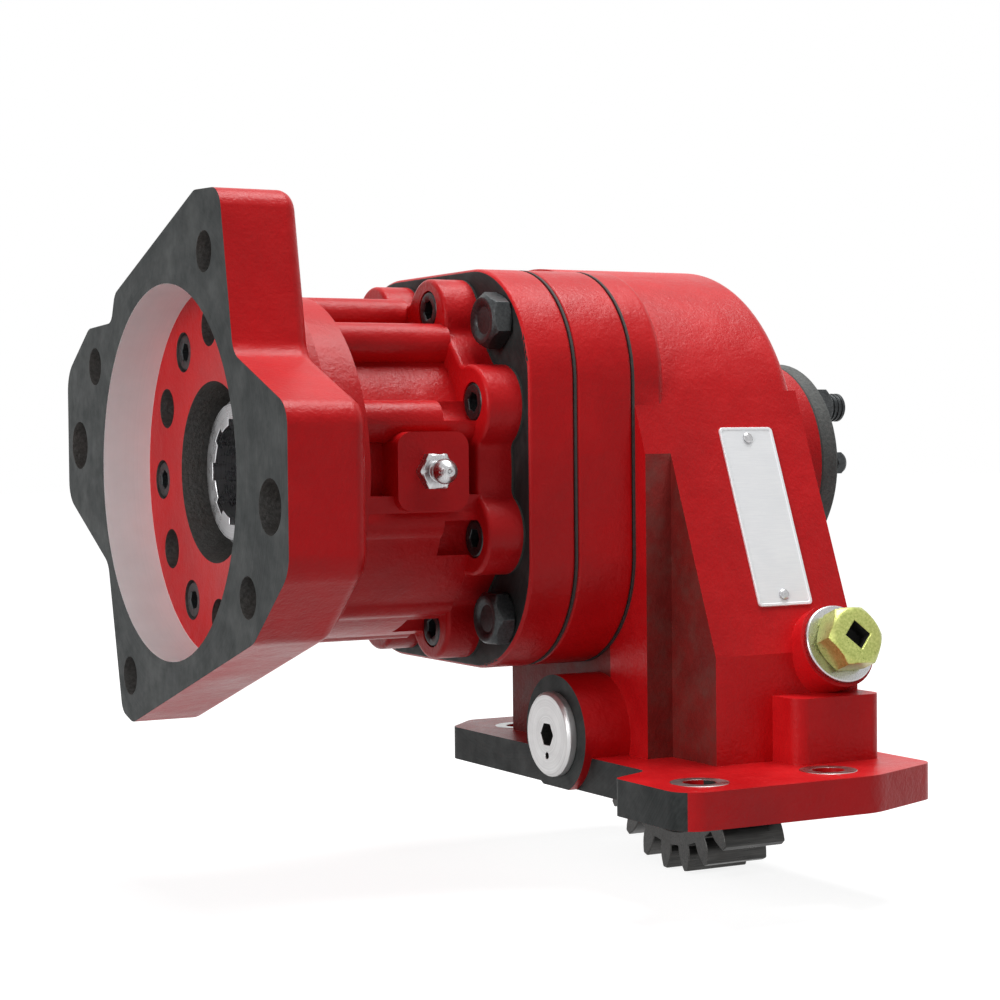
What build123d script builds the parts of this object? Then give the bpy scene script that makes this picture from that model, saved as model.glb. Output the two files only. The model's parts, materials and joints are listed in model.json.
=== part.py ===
from build123d import *
import os
from math import acos, cos, pi, radians, sin, tan

# Power take off unit, in millimetres. The origin is the middle of the four bolts, on the underside of
# the mounting pad. +X runs along the output shaft, away from the pump, +Z points away from the gearbox
# that the pad is bolted to, and the pump face looks along -X.

# Gears: a driven gear that reaches down through the pad, and the clutch gear above it
tooth_module = 4.0
input_teeth = 24
clutch_teeth = 27
pressure_angle = 20.0
tooth_thinning = 0.16
tip_clearance = 1.0
gear_width = 25.0

# Shaft axes
input_y = 6.0
input_z = 18.5
centre_lean = 64.4
centre_distance = tooth_module * (input_teeth + clutch_teeth) / 2
output_y = input_y + centre_distance * cos(radians(centre_lean))
output_z = input_z + centre_distance * sin(radians(centre_lean))

# Mounting pad
pad_length_x = 108.0
pad_near_y = -96.0
pad_far_y = 104.0
pad_thickness = 12.0
pad_row_y = 78.0
pad_bolt_spacing = 50.0
pad_row_shift = 11.0
pad_hole_r = 5.25
pad_corner_r = 9.0
pad_bevel_x = 34.0
pad_bevel_y = 14.0
pad_far_bevel = 15.0
pad_notch_depth = 17.0
pad_notch_y = -48.0
pad_notch_slope = 8.0

# Pump flange
pump_face_x = -165.0
flange_thickness = 27.0
flange_back_round = 5.0
pilot_r = 63.5
pilot_depth = 17.5
pilot_wall = 5.0
web_thickness = 13.5
web_hole_gap = 6.0
flange_turn = 6.0
two_bolt_pcd = 181.0
two_bolt_hole_r = 8.75
four_bolt_pcd = 162.0
four_bolt_hole_r = 6.75
four_bolt_turn = 28.0
web_bolt_inset = 5.0
web_bolt_count = 12
web_bolt_turn = -3.5
web_bolt_clearance = 0.5
web_screw_grip = 11.0

# Front cap
collar_length = 17.0
collar_rim = 10.0
cap_wall = 5.0
barrel_standoff = 3.0
barrel_r = 7.0
barrel_count = 10
cap_flange_x = -77.0
cap_flange_thickness = 13.0
cap_flange_rim = 8.0
cap_belly_rim = 8.5
cap_belly_top = -8.0
seal_height = 9.0
seal_width = 8.0
lobe_standoff = 6.0
lobe_r = 14.0
lobe_count = 8
lobe_turn = 22.5
lobe_bolt_standoff = 9.5
lobe_blend_r = 4.0
lobe_thread_depth = 12.0
cap_edge_round = 1.6
port_boss_width = 26.0
port_boss_half_height = 13.0
port_boss_standoff = 11.5
port_boss_round = 5.0
port_setback = 18.0
port_thread_r = 4.5
port_thread_depth = 8.0

# Castings behind the cap
gasket_thickness = 0.8
housing_wall = 5.0
housing_corner_r = 40.0
casting_edge_round = 1.5
adapter_length = 17.5
clutch_housing_length = 22.0
room_clearance = 4.0
corner_bolt_standoff = 7.0
corner_bolt_count = 4
corner_turn = 45.0
bolt_hole_clearance = 0.5
main_wall = 8.0
main_rear_x = 46.0
main_flange_length = 13.0
main_edge_round = 6.0
flare_angle = 21.5
far_wall_thickness = 9.0
near_wall_top_z = 48.0
block_front_x = -12.0
block_step = 26.5
rear_boss_wall = 10.5
rear_boss_x = 79.0
rear_shoulder = 3.0
rear_cover_thickness = 7.0
cover_screw_count = 4
cover_screw_inset = 5.5
cover_screw_length = 12.0
rear_port_r = 8.0
rear_port_thread_r = 5.0
rear_port_height = 10.0
rear_port_nose = 7.0
rear_port_nose_r = 5.5
rear_port_out_y = -15.0
rear_port_out_z = 21.0

# Near side details
pilaster_depth = 14.0
pilaster_front_x = 10.6
pilaster_top_z = 34.0
side_boss_x = 33.5
side_boss_z = 48.0
side_boss_r = 14.6
side_boss_height = 6.0
side_plug_thread_r = 8.0
side_washer_r = 13.5
side_washer_thickness = 2.0
side_seat_gap = 0.02
side_hex_r = 11.2
side_hex_height = 10.5
side_plug_depth = 10.0
side_socket_side = 7.0
plate_centre_x = 20.5
plate_width = 22.0
plate_height = 65.0
plate_centre_z = 93.5
plate_thickness = 0.8
plate_pin_r = 1.9
plate_pin_inset = 4.0

# Idler pin and its front plug
idler_boss_gap = 2.5
idler_boss_x = -40.0
idler_pin_r = 12.5
idler_pin_front_x = -29.0
idler_pin_back_x = 50.0
idler_boss_rim = 5.8
idler_plug_lip = 2.0
idler_plug_head = 3.5
idler_socket_r = 4.2
idler_socket_depth = 6.0
idler_spacer_wall = 3.2
idler_tail_r = 20.0

# Running gear along the output shaft
shaft_front_x = -141.0
shaft_r = 24.0
journal_step = 1.0
shaft_collar_step = 5.0
rear_journal_r = 15.0
spline_root_r = 18.0
spline_tip_r = 16.0
spline_teeth = 8
spline_slot_width = 6.0
spline_depth = 45.0
running_gap = 0.05
side_gap = 0.3
clutch_front_x = -43.5
disc_band = 13.0
drum_wall = 5.0
drum_hub_wall = 6.0
drum_hub_length = 38.0
drum_slot_count = 6
piston_thickness = 7.0
piston_travel = 2.2
piston_stop_gap = 0.3
plate_thickness_steel = 2.0
disc_thickness = 2.4
disc_count = 3
end_plate_thickness = 4.0
spring_standoff = 4.0
spring_retainer_rim = 3.5
spring_wire_r = 1.5
clutch_gear_x = 7.0
gear_tube_clearance = 1.5
gear_tube_wall = 3.0
bush_wall = 4.0
thrust_washer_thickness = 3.4
thrust_washer_rim = 10.0

# Radii about the output axis, from the shaft outwards
front_journal_r = shaft_r + journal_step
shaft_collar_r = front_journal_r + shaft_collar_step
seal_bore_r = front_journal_r + seal_height
web_hole_r = front_journal_r + web_hole_gap
bush_r = shaft_r + bush_wall
thrust_washer_r = shaft_r + thrust_washer_rim
drum_hub_r = shaft_r + drum_hub_wall
spring_mean_r = drum_hub_r + spring_standoff
spring_retainer_r = spring_mean_r + spring_retainer_rim
gear_tube_inner_r = spring_retainer_r + gear_tube_clearance
gear_tube_r = gear_tube_inner_r + gear_tube_wall
drum_bore_r = gear_tube_r + disc_band
drum_r = drum_bore_r + drum_wall

# Ball bearings: inner radius, outer radius, width, ball radius, ball count
front_bearing = (front_journal_r, front_journal_r + 20.0, 20.0, 6.3, 10)
rear_bearing = (rear_journal_r, rear_journal_r + 12.5, 13.0, 3.7, 10)
idler_bearing = (idler_pin_r, idler_pin_r + 11.0, 12.0, 3.3, 10)
race_gap = 0.12

# Casting radii about the output axis
web_bolt_circle_r = front_bearing[1] + web_bolt_inset
cap_core_r = front_bearing[1] + cap_wall
adapter_bore_r = cap_core_r
barrel_circle_r = cap_core_r + barrel_standoff
collar_r = cap_core_r + collar_rim
cap_flange_r = cap_core_r + cap_flange_rim
cap_belly_r = cap_core_r + cap_belly_rim
lobe_circle_r = cap_core_r + lobe_standoff
lobe_bolt_circle_r = cap_core_r + lobe_bolt_standoff
port_boss_reach = cap_core_r + port_boss_standoff
clutch_tip_r = tooth_module * (clutch_teeth / 2 + 1)
room_r = max(drum_r, clutch_tip_r) + room_clearance
housing_half_width = room_r + housing_wall
corner_bolt_circle_r = room_r + corner_bolt_standoff
main_round_r = room_r + main_wall
rear_boss_r = rear_bearing[1] + rear_boss_wall
cover_screw_circle_r = rear_bearing[1] + cover_screw_inset
idler_boss_r = output_z - housing_half_width - input_z - idler_boss_gap
idler_plug_r = idler_boss_r - idler_boss_rim
idler_plug_thread_r = idler_plug_r - idler_plug_lip

# Screws: thread radius, head radius, head height
web_screw = (4.0, 6.5, 7.5)
lobe_screw = (4.0, 6.5, 7.5)
corner_bolt = (5.0, 9.8, 7.0)
cover_screw = (2.5, 4.6, 4.0)
screw_socket_r = 3.4

# Stations along X that several pieces share
web_front_x = pump_face_x + pilot_depth
web_screw_seat_x = web_front_x + web_screw[2] + 0.5
cap_front_x = web_front_x + web_thickness
collar_back_x = cap_front_x + collar_length
cap_back_x = cap_flange_x + cap_flange_thickness
adapter_front_x = cap_back_x + gasket_thickness
adapter_back_x = adapter_front_x + adapter_length
clutch_housing_x = adapter_back_x + gasket_thickness
clutch_housing_back_x = clutch_housing_x + clutch_housing_length
main_front_x = clutch_housing_back_x + gasket_thickness
main_cavity_back_x = main_rear_x - main_wall
rear_cover_x = rear_boss_x + gasket_thickness
seal_back_x = cap_front_x + seal_width
front_bearing_x = seal_back_x + 2.0
rear_bearing_x = rear_boss_x - 7.0 - rear_bearing[2]
clutch_gear_back_x = clutch_gear_x + gear_width
drum_hub_back_x = clutch_front_x + drum_hub_length
gear_ring_x = clutch_gear_back_x + thrust_washer_thickness + 2 * side_gap
piston_x = clutch_front_x + drum_wall + 1.0
first_plate_x = piston_x + piston_thickness + piston_travel + piston_stop_gap
plate_pitch = plate_thickness_steel + disc_thickness + 2 * side_gap
end_plate_x = first_plate_x + disc_count * plate_pitch
drum_back_x = end_plate_x + end_plate_thickness + 3.5
spring_retainer_x = drum_hub_back_x - 8.0
input_tip_r = tooth_module * (input_teeth / 2 + 1)
input_cavity_r = input_tip_r + 2.0
input_cavity_front_x = clutch_gear_x - 8.0
input_cavity_back_x = clutch_gear_back_x + 5.0

# The flared near wall touches the round top, and leans out to the block's near wall
flare_lean = radians(flare_angle)
flare_tangent_y = output_y - main_round_r * cos(flare_lean)
flare_tangent_z = output_z + main_round_r * sin(flare_lean)
near_wall_y = flare_tangent_y - (flare_tangent_z - near_wall_top_z) * tan(flare_lean)
block_step_y = near_wall_y + block_step
pilaster_y = near_wall_y - pilaster_depth
far_wall_y = input_y + input_cavity_r + far_wall_thickness


def cyl(x_start, x_end, radius, y=output_y, z=output_z):
    """A solid cylinder along X between two stations."""
    disc = Plane((x_start, y, z), x_dir=(0, 1, 0), z_dir=(1, 0, 0)) * Circle(radius)
    return extrude(disc, x_end - x_start)


def tube(x_start, x_end, outer, inner, y=output_y, z=output_z):
    """A round tube along X between two stations."""
    return cyl(x_start, x_end, outer, y, z) - cyl(x_start - 1, x_end + 1, inner, y, z)


def slab(x_start, x_end, outline, y=output_y, z=output_z):
    """An outline drawn sideways and upwards, pushed along X between two stations."""
    face = Plane((x_start, y, z), x_dir=(0, 1, 0), z_dir=(1, 0, 0)) * outline
    return extrude(face, x_end - x_start)


def box(x1, x2, y1, y2, z1, z2):
    """A box between two corners."""
    return Pos((x1 + x2) / 2, (y1 + y2) / 2, (z1 + z2) / 2) * Box(x2 - x1, y2 - y1, z2 - z1)


def around(count, radius, start=0.0, y=output_y, z=output_z):
    """Places evenly spaced on a circle about an axis along X, counted from +Y towards +Z."""
    angles = [radians(start + 360.0 * i / count) for i in range(count)]
    return [(y + radius * cos(a), z + radius * sin(a)) for a in angles]


def rounded_polygon(points, radii):
    """A polygon with each corner rounded by its own radius."""
    edges = FilletPolyline(*points, radius=radii, close=True)
    return make_face(edges)


def socket_screw(head_x, screw, length, y, z):
    """A cap screw along +X with a round head and a hexagon socket, its head resting at head_x."""
    thread_r, head_r, head_height = screw
    body = cyl(head_x - head_height, head_x, head_r, y, z) + cyl(head_x, head_x + length, thread_r, y, z)
    socket = slab(head_x - head_height - 1, head_x - head_height / 2, RegularPolygon(screw_socket_r, 6), y, z)
    return body - socket


def hex_bolt(head_x, screw, length, y, z, direction=1):
    """A hexagon bolt along X whose head rests at head_x."""
    thread_r, head_r, head_height = screw
    head = slab(head_x, head_x - direction * head_height, RegularPolygon(head_r, 6), y, z)
    crown = cyl(head_x - direction * (head_height + 0.6), head_x, head_r * cos(pi / 6) - 0.4, y, z)
    return head + crown + cyl(head_x, head_x + direction * length, thread_r, y, z)


def gear_outline(teeth, phase):
    """The outline of a spur gear with involute flanks, one tooth centred on the phase angle."""
    pitch_r = tooth_module * teeth / 2
    base_r = pitch_r * cos(radians(pressure_angle))
    tip_r = pitch_r + tooth_module
    root_r = pitch_r - tooth_module - tip_clearance
    half_tooth = pi / (2 * teeth) - tooth_thinning / pitch_r
    half_at_base = half_tooth + tan(radians(pressure_angle)) - radians(pressure_angle)
    start_r = max(base_r, root_r + 0.3)
    radii = [start_r + (tip_r - start_r) * step / 4 for step in range(5)]
    flank = []
    for r in radii:
        roll = acos(min(1.0, base_r / r))
        flank.append((r, half_at_base - (tan(roll) - roll)))
    points = []
    for tooth in range(teeth):
        centre = radians(phase) + 2 * pi * tooth / teeth
        points.append((root_r, centre - flank[0][1]))
        points += [(r, centre - half) for r, half in flank]
        points += [(r, centre + half) for r, half in reversed(flank)]
        points.append((root_r, centre + flank[0][1]))
    return make_face(Polyline(*[(r * cos(a), r * sin(a)) for r, a in points], close=True))


def toothed_ring(x_start, x_end, ring_r, tooth_r, inner_r, count, tooth_width):
    """A ring about the output axis with square lugs standing out of it."""
    ring = cyl(x_start, x_end, ring_r)
    for i in range(count):
        lug = box(x_start, x_end, 0, tooth_r, -tooth_width / 2, tooth_width / 2)
        ring += Pos(0, output_y, output_z) * Rot(360.0 * i / count, 0, 0) * lug
    return ring - cyl(x_start - 1, x_end + 1, inner_r)


def ball_bearing(x_start, sizes, y=output_y, z=output_z):
    """The inner race, the outer race and the balls of a deep groove bearing."""
    inner_r, outer_r, width, ball_r, count = sizes
    pitch_r = (inner_r + outer_r) / 2
    land = ball_r * 0.55
    middle = x_start + width / 2
    path = Plane((middle, y, z), x_dir=(0, 1, 0), z_dir=(1, 0, 0))
    groove = path * Torus(pitch_r, ball_r + race_gap)
    inner = tube(x_start, x_start + width, pitch_r - land, inner_r, y, z) - groove
    outer = tube(x_start, x_start + width, outer_r, pitch_r + land, y, z) - groove
    balls = [Pos(middle, by, bz) * Sphere(ball_r) for by, bz in around(count, pitch_r, 0, y, z)]
    return inner, outer, Compound(children=balls)


def split_ring(x_start, width, inner_r, outer_r, gap_angle=14.0):
    """A flat snap ring with a gap at its top."""
    ring = tube(x_start, x_start + width, outer_r, inner_r)
    half = tan(radians(gap_angle / 2)) * outer_r
    return ring - box(x_start - 1, x_start + width + 1, output_y - half, output_y + half,
                      output_z, output_z + outer_r + 1)


def pump_flange_outline():
    """Two ears and two lobes: each corner as sideways place, height and rounding about the bore's axis."""
    corners = [(-30, 92, 8), (-52, 91, 8), (-62, 38, 8), (-104, 21, 9), (-104, -29, 12), (-76, -52, 14),
               (36, -88, 9), (47, -85, 6), (60, -33, 8), (103.5, -10, 10), (103.5, 36, 12), (78, 52, 8),
               (53, 53, 5), (49, 63, 6)]
    return rounded_polygon([(y, z) for y, z, _ in corners], [r for _, _, r in corners])


def make_pump_flange():
    """The pump flange: an outer plate with a pilot bore, and a web that is screwed to the cap."""
    plate = slab(pump_face_x, pump_face_x + flange_thickness, pump_flange_outline())
    back = plate.faces().sort_by(Axis.X)[-1]
    plate = fillet(back.outer_wire().edges(), flange_back_round)
    hub = cyl(pump_face_x + 1, cap_front_x, pilot_r + pilot_wall)
    body = plate + hub
    body -= cyl(pump_face_x - 1, web_front_x, pilot_r)
    body -= cyl(pump_face_x, cap_front_x + 1, web_hole_r)
    for y, z in around(2, two_bolt_pcd / 2, flange_turn):
        body -= cyl(pump_face_x - 1, cap_front_x, two_bolt_hole_r, y, z)
    for y, z in around(4, four_bolt_pcd / 2, four_bolt_turn):
        body -= cyl(pump_face_x - 1, cap_front_x, four_bolt_hole_r, y, z)
    thread_r, head_r, _ = web_screw
    for y, z in around(web_bolt_count, web_bolt_circle_r, web_bolt_turn):
        body -= cyl(web_front_x - 1, cap_front_x + 1, thread_r + web_bolt_clearance, y, z)
        body -= cyl(web_front_x - 1, web_screw_seat_x, head_r + web_bolt_clearance, y, z)
    return body


def make_web_screws():
    """Cap screws in every other hole of the web, so that the flange can be turned."""
    length = cap_front_x - web_screw_seat_x + web_screw_grip
    places = around(web_bolt_count // 2, web_bolt_circle_r, web_bolt_turn)
    return Compound(children=[socket_screw(web_screw_seat_x, web_screw, length, y, z) for y, z in places])


def cap_flange_shape(x_start, x_end):
    """The cap's rear flange, a disc with round lobes."""
    outline = Circle(cap_flange_r)
    for y, z in around(lobe_count, lobe_circle_r, lobe_turn, 0, 0):
        outline += Pos(y, z) * Circle(lobe_r)
    outline = fillet(outline.vertices(), lobe_blend_r)
    return slab(x_start, x_end, outline)


def make_front_cap():
    """The cap casting: a collar, ribbed barrels, a solid lower half, a lobed flange and its bores."""
    body = cyl(cap_front_x, collar_back_x, collar_r)
    body += cyl(collar_back_x - 1, cap_flange_x + 1, cap_core_r)
    for y, z in around(barrel_count, barrel_circle_r, 90):
        body += cyl(collar_back_x - 1, cap_flange_x + 1, barrel_r, y, z)
    belly = cyl(collar_back_x - 1, cap_flange_x + 1, cap_belly_r)
    body += belly & box(collar_back_x - 2, cap_flange_x + 2, output_y - collar_r, output_y + collar_r,
                        output_z - collar_r, output_z + cap_belly_top)
    body += port_boss()
    flange = cap_flange_shape(cap_flange_x, cap_back_x)
    body += fillet(flange.faces().sort_by(Axis.X)[0].outer_wire().edges(), cap_edge_round)
    body -= cyl(cap_front_x - 1, seal_back_x, seal_bore_r)
    body -= cyl(cap_front_x, front_bearing_x + 1, shaft_collar_r)
    body -= cyl(front_bearing_x, cap_back_x + 1, front_bearing[1])
    body -= tube(front_bearing_x + front_bearing[2], front_bearing_x + front_bearing[2] + 2.0,
                 front_bearing[1] + 2.0, front_bearing[1] - 1)
    for y, z in around(web_bolt_count, web_bolt_circle_r, web_bolt_turn):
        body -= cyl(cap_front_x - 1, cap_front_x + web_screw_grip, web_screw[0], y, z)
    thread_r, head_r, head_height = lobe_screw
    for y, z in around(lobe_count, lobe_bolt_circle_r, lobe_turn):
        body -= cyl(cap_flange_x, cap_back_x + 1, thread_r, y, z)
        body -= cyl(cap_flange_x - 12, cap_flange_x + head_height, head_r + 0.2, y, z)
    port_x, port_y, port_z = port_place()
    thread = Rot(90, 0, 0) * Cylinder(port_thread_r, 2 * port_thread_depth + 2)
    body -= Pos(port_x, port_y, port_z) * thread
    return body


def port_place():
    """The centre of the flat face of the cap's port boss."""
    return (cap_flange_x - port_setback, output_y - port_boss_reach, output_z)


def port_boss():
    """A flat boss on the near side of the cap, with rounded corners."""
    x, y, z = port_place()
    block = box(x - port_boss_width / 2, x + port_boss_width / 2, y, output_y - cap_core_r + 6,
                z - port_boss_half_height, z + port_boss_half_height)
    return fillet(block.edges().filter_by(Axis.Y), port_boss_round)


def make_port_fitting():
    """A small grease type nipple screwed into the cap's port boss."""
    x, y, z = port_place()
    hexagon = Plane((x, y, z), x_dir=(1, 0, 0), z_dir=(0, -1, 0)) * RegularPolygon(6.6, 6)
    body = extrude(hexagon, 4.0)
    axis = Plane((x, y, z), x_dir=(1, 0, 0), z_dir=(0, -1, 0))
    body += extrude(axis * Circle(port_thread_r), -port_thread_depth)
    body += extrude(axis * Circle(3.6), 6.5)
    body += Pos(x, y - 8.0, z) * Sphere(4.2)
    return body


def end_edges(body):
    """The outer edges of both ends of a casting."""
    ends = body.faces().sort_by(Axis.X)
    return ends[0].outer_wire().edges() + ends[-1].outer_wire().edges()


def housing_outline():
    """The rounded square section of the clutch castings."""
    side = 2 * housing_half_width
    return RectangleRounded(side, side, housing_corner_r)


def corner_holes(x_start, x_end, radius):
    """Round bars in the four corners of the clutch castings, for cutting the bolt holes."""
    places = around(corner_bolt_count, corner_bolt_circle_r, corner_turn)
    return [cyl(x_start, x_end, radius, y, z) for y, z in places]


def make_adapter():
    """The plate that the front cap is screwed to."""
    body = slab(adapter_front_x, adapter_back_x, housing_outline())
    body = fillet(end_edges(body), casting_edge_round)
    body -= cyl(adapter_front_x - 1, adapter_back_x + 1, adapter_bore_r)
    for hole in corner_holes(adapter_front_x - 1, adapter_back_x + 1, corner_bolt[0] + bolt_hole_clearance):
        body -= hole
    for y, z in around(lobe_count, lobe_bolt_circle_r, lobe_turn):
        body -= cyl(adapter_front_x - 1, adapter_front_x + lobe_thread_depth + 1, lobe_screw[0], y, z)
    return body


def make_clutch_housing():
    """The ring casting round the clutch."""
    body = slab(clutch_housing_x, clutch_housing_back_x, housing_outline())
    body = fillet(end_edges(body), casting_edge_round)
    body -= cyl(clutch_housing_x - 1, clutch_housing_back_x + 1, room_r)
    hole_r = corner_bolt[0] + bolt_hole_clearance
    for hole in corner_holes(clutch_housing_x - 1, clutch_housing_back_x + 1, hole_r):
        body -= hole
    return body


def flat_gasket(x_start, outer_shape, bore_r, hole_places, hole_r):
    """A thin gasket with its bore and its bolt holes."""
    body = outer_shape - cyl(x_start - 1, x_start + gasket_thickness + 1, bore_r)
    for y, z in hole_places:
        body -= cyl(x_start - 1, x_start + gasket_thickness + 1, hole_r, y, z)
    return body


def flare_point(height):
    """The sideways place of the flared near wall at a height."""
    return flare_tangent_y - (flare_tangent_z - height) * tan(flare_lean)


def body_outline():
    """The section of the main casting below its round top: flared near wall, upright block, far wall."""
    return make_face(Polyline((output_y, output_z), (flare_tangent_y, flare_tangent_z),
                              (near_wall_y, near_wall_top_z), (near_wall_y, 1.0), (far_wall_y, 1.0),
                              (far_wall_y, output_z - 60), close=True))


def side_boss_plane(height=0.0):
    """The plane of the boss on the flared wall, its normal pointing out of the wall."""
    y = flare_point(side_boss_z) - height * cos(flare_lean)
    z = side_boss_z + height * sin(flare_lean)
    return Plane((side_boss_x, y, z), x_dir=(1, 0, 0), z_dir=(0, -cos(flare_lean), sin(flare_lean)))


def pad_outline():
    """The pad seen from above: two bevelled corners, and set back in front to clear the idler plug."""
    half_x = pad_length_x / 2
    notch_x = -half_x + pad_notch_depth
    points = [(-half_x, pad_near_y), (half_x - pad_bevel_x, pad_near_y), (half_x, pad_near_y + pad_bevel_y),
              (half_x, pad_far_y), (notch_x + pad_far_bevel, pad_far_y), (notch_x, pad_far_y - pad_far_bevel),
              (notch_x, pad_notch_y), (-half_x, pad_notch_y - pad_notch_slope)]
    return rounded_polygon(points, [pad_corner_r, 20, 8, pad_corner_r, 6, 6, 6, 4])


def pad_hole_places():
    """The four holes of the pad: two in the near row and two in the far row, which is set back."""
    half = pad_bolt_spacing / 2
    near = [(offset - pad_row_shift, -pad_row_y) for offset in (-half, half)]
    return near + [(-x, -y) for x, y in near]


def near_side_pilaster():
    """The upright pilaster under the plug's boss, on the rear near corner of the block."""
    pilaster = box(pilaster_front_x, main_rear_x, pilaster_y, near_wall_y + 10, 1.0, pilaster_top_z)
    return fillet(pilaster.edges().filter_by(Axis.Z).sort_by(Axis.Y)[:2], 5.0)


def make_main_housing():
    """The main casting: round top, flared near wall, block, pad, bosses, cavities and holes."""
    body = cyl(main_front_x, main_rear_x, main_round_r)
    body = fillet(body.faces().sort_by(Axis.X)[-1].edges(), main_edge_round)
    flange = slab(main_front_x, main_front_x + main_flange_length, housing_outline())
    body += fillet(flange.faces().sort_by(Axis.X)[-1].outer_wire().edges(), 4.0)
    lower = slab(main_front_x, main_rear_x, body_outline(), 0, 0)
    step_top_z = output_z + main_round_r
    lower -= box(main_front_x - 1, block_front_x, near_wall_y - 10, block_step_y, -1, step_top_z)
    body += lower
    body += near_side_pilaster()
    body += extrude(pad_outline(), pad_thickness)
    body += cyl(idler_boss_x, main_front_x + 4, idler_boss_r, input_y, input_z) & box(
        idler_boss_x - 1, main_front_x + 5, input_y - 60, input_y + 60, 0, 90)
    body += cyl(main_rear_x - 1, idler_pin_back_x + 3, idler_tail_r, input_y, input_z + 2) & box(
        main_rear_x - 2, idler_pin_back_x + 4, input_y - 60, input_y + 60, 0, 90)
    body += cyl(main_rear_x - 1, rear_boss_x, rear_boss_r)
    boss_disc = side_boss_plane(-12.0) * Circle(side_boss_r)
    body += extrude(boss_disc, 12.0 + side_boss_height)
    body -= main_cavities()
    body -= main_holes()
    return body


def main_cavities():
    """The room for the clutch, for both gears, for the rear bearing, and the way out through the pad."""
    room = cyl(main_front_x - 1, main_cavity_back_x, room_r)
    room += cyl(input_cavity_front_x, input_cavity_back_x, input_cavity_r, input_y, input_z)
    half_opening = input_cavity_r
    room += box(input_cavity_front_x, input_cavity_back_x, input_y - half_opening,
                input_y + half_opening, -1, input_z)
    room += cyl(main_cavity_back_x - 1, rear_bearing_x + 1, rear_bearing[1] - rear_shoulder)
    room += cyl(rear_bearing_x, rear_boss_x + 1, rear_bearing[1])
    return room


def main_holes():
    """Pin bore, plug thread, pad holes, corner bolt holes, cover screw holes and the side plug's thread."""
    holes = cyl(idler_boss_x - 1, idler_pin_front_x - 1, idler_plug_thread_r, input_y, input_z)
    holes += cyl(idler_pin_front_x - 2, idler_pin_back_x, idler_pin_r, input_y, input_z)
    for x, y in pad_hole_places():
        holes += Pos(x, y, pad_thickness / 2) * Cylinder(pad_hole_r, pad_thickness + 2)
    for hole in corner_holes(main_front_x - 1, main_front_x + main_flange_length - 2, corner_bolt[0]):
        holes += hole
    for y, z in around(cover_screw_count, cover_screw_circle_r, 0):
        holes += cyl(rear_boss_x - cover_screw_length, rear_boss_x + 1, cover_screw[0], y, z)
    holes += extrude(side_boss_plane(side_boss_height + 1) * Circle(side_plug_thread_r), -14.0)
    return holes


def make_side_plug():
    """The plated hexagon plug of the flared wall, with a square socket."""
    seat_height = side_boss_height + side_seat_gap + side_washer_thickness
    seat = side_boss_plane(seat_height)
    body = extrude(seat * RegularPolygon(side_hex_r, 6), side_hex_height)
    crown = extrude(seat * Circle(side_hex_r), side_hex_height)
    top = crown.faces().sort_by(Axis.Y)[0]
    body &= chamfer(top.edges(), 2.2)
    body += extrude(seat * Circle(side_plug_thread_r), -side_washer_thickness - side_plug_depth)
    socket = Rectangle(side_socket_side, side_socket_side)
    return body - extrude(side_boss_plane(seat_height + side_hex_height) * socket, -6.0)


def make_side_washer():
    """The sealing washer under the plug."""
    ring = Circle(side_washer_r) - Circle(side_plug_thread_r)
    return extrude(side_boss_plane(side_boss_height + side_seat_gap) * ring, side_washer_thickness)


def plate_plane(height=0.0):
    """The plane of the nameplate on the flared wall."""
    y = flare_point(plate_centre_z) - height * cos(flare_lean)
    return Plane((plate_centre_x, y, plate_centre_z + height * sin(flare_lean)), x_dir=(1, 0, 0),
                 z_dir=(0, -cos(flare_lean), sin(flare_lean)))


def make_nameplate():
    """A thin blank plate with rounded corners."""
    outline = RectangleRounded(plate_width, plate_height, 1.5)
    return extrude(plate_plane() * outline, plate_thickness)


def make_plate_pins():
    """The two drive pins of the nameplate, with domed heads."""
    pins = []
    for offset in (-1, 1):
        place = plate_plane(plate_thickness) * Pos(0, offset * (plate_height / 2 - plate_pin_inset), 0)
        head = extrude(place * Circle(plate_pin_r), 0.9)
        pins.append(fillet(head.faces().sort_by(Axis.Y)[0].edges(), 0.5))
    return Compound(children=pins)


def make_idler_plug():
    """The round plug in front of the idler pin, with a hexagon socket and a pin spanner hole."""
    head = cyl(idler_boss_x - idler_plug_head, idler_boss_x, idler_plug_r, input_y, input_z)
    head = chamfer(head.faces().sort_by(Axis.X)[0].edges(), 1.0)
    body = head + cyl(idler_boss_x, idler_pin_front_x - 1.3, idler_plug_thread_r, input_y, input_z)
    front = idler_boss_x - idler_plug_head
    body -= slab(front - 1, front + idler_socket_depth, RegularPolygon(idler_socket_r, 6), input_y, input_z)
    return body - cyl(front - 1, front + 2.0, 1.1, input_y, input_z - idler_plug_r / 2)


def make_idler_pin():
    """The fixed pin that carries the driven gear, drilled for oil."""
    body = cyl(idler_pin_front_x, idler_pin_back_x, idler_pin_r, input_y, input_z)
    return body - cyl(idler_pin_front_x - 1, idler_pin_front_x + 40, 3.0, input_y, input_z)


def idler_stations():
    """Where the two bearings of the driven gear start."""
    return (clutch_gear_x, clutch_gear_back_x - idler_bearing[2])


def make_input_gear():
    """The driven gear: a tooth of it points along the line of centres."""
    body = slab(clutch_gear_x, clutch_gear_back_x, gear_outline(input_teeth, centre_lean), input_y, input_z)
    rim = [tube(x1, x2, 38.0, 28.0, input_y, input_z) for x1, x2 in
           ((clutch_gear_x - 1, clutch_gear_x + 4), (clutch_gear_back_x - 4, clutch_gear_back_x + 1))]
    body = body - rim[0] - rim[1]
    return body - cyl(clutch_gear_x - 1, clutch_gear_back_x + 1, idler_bearing[1], input_y, input_z)


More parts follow.
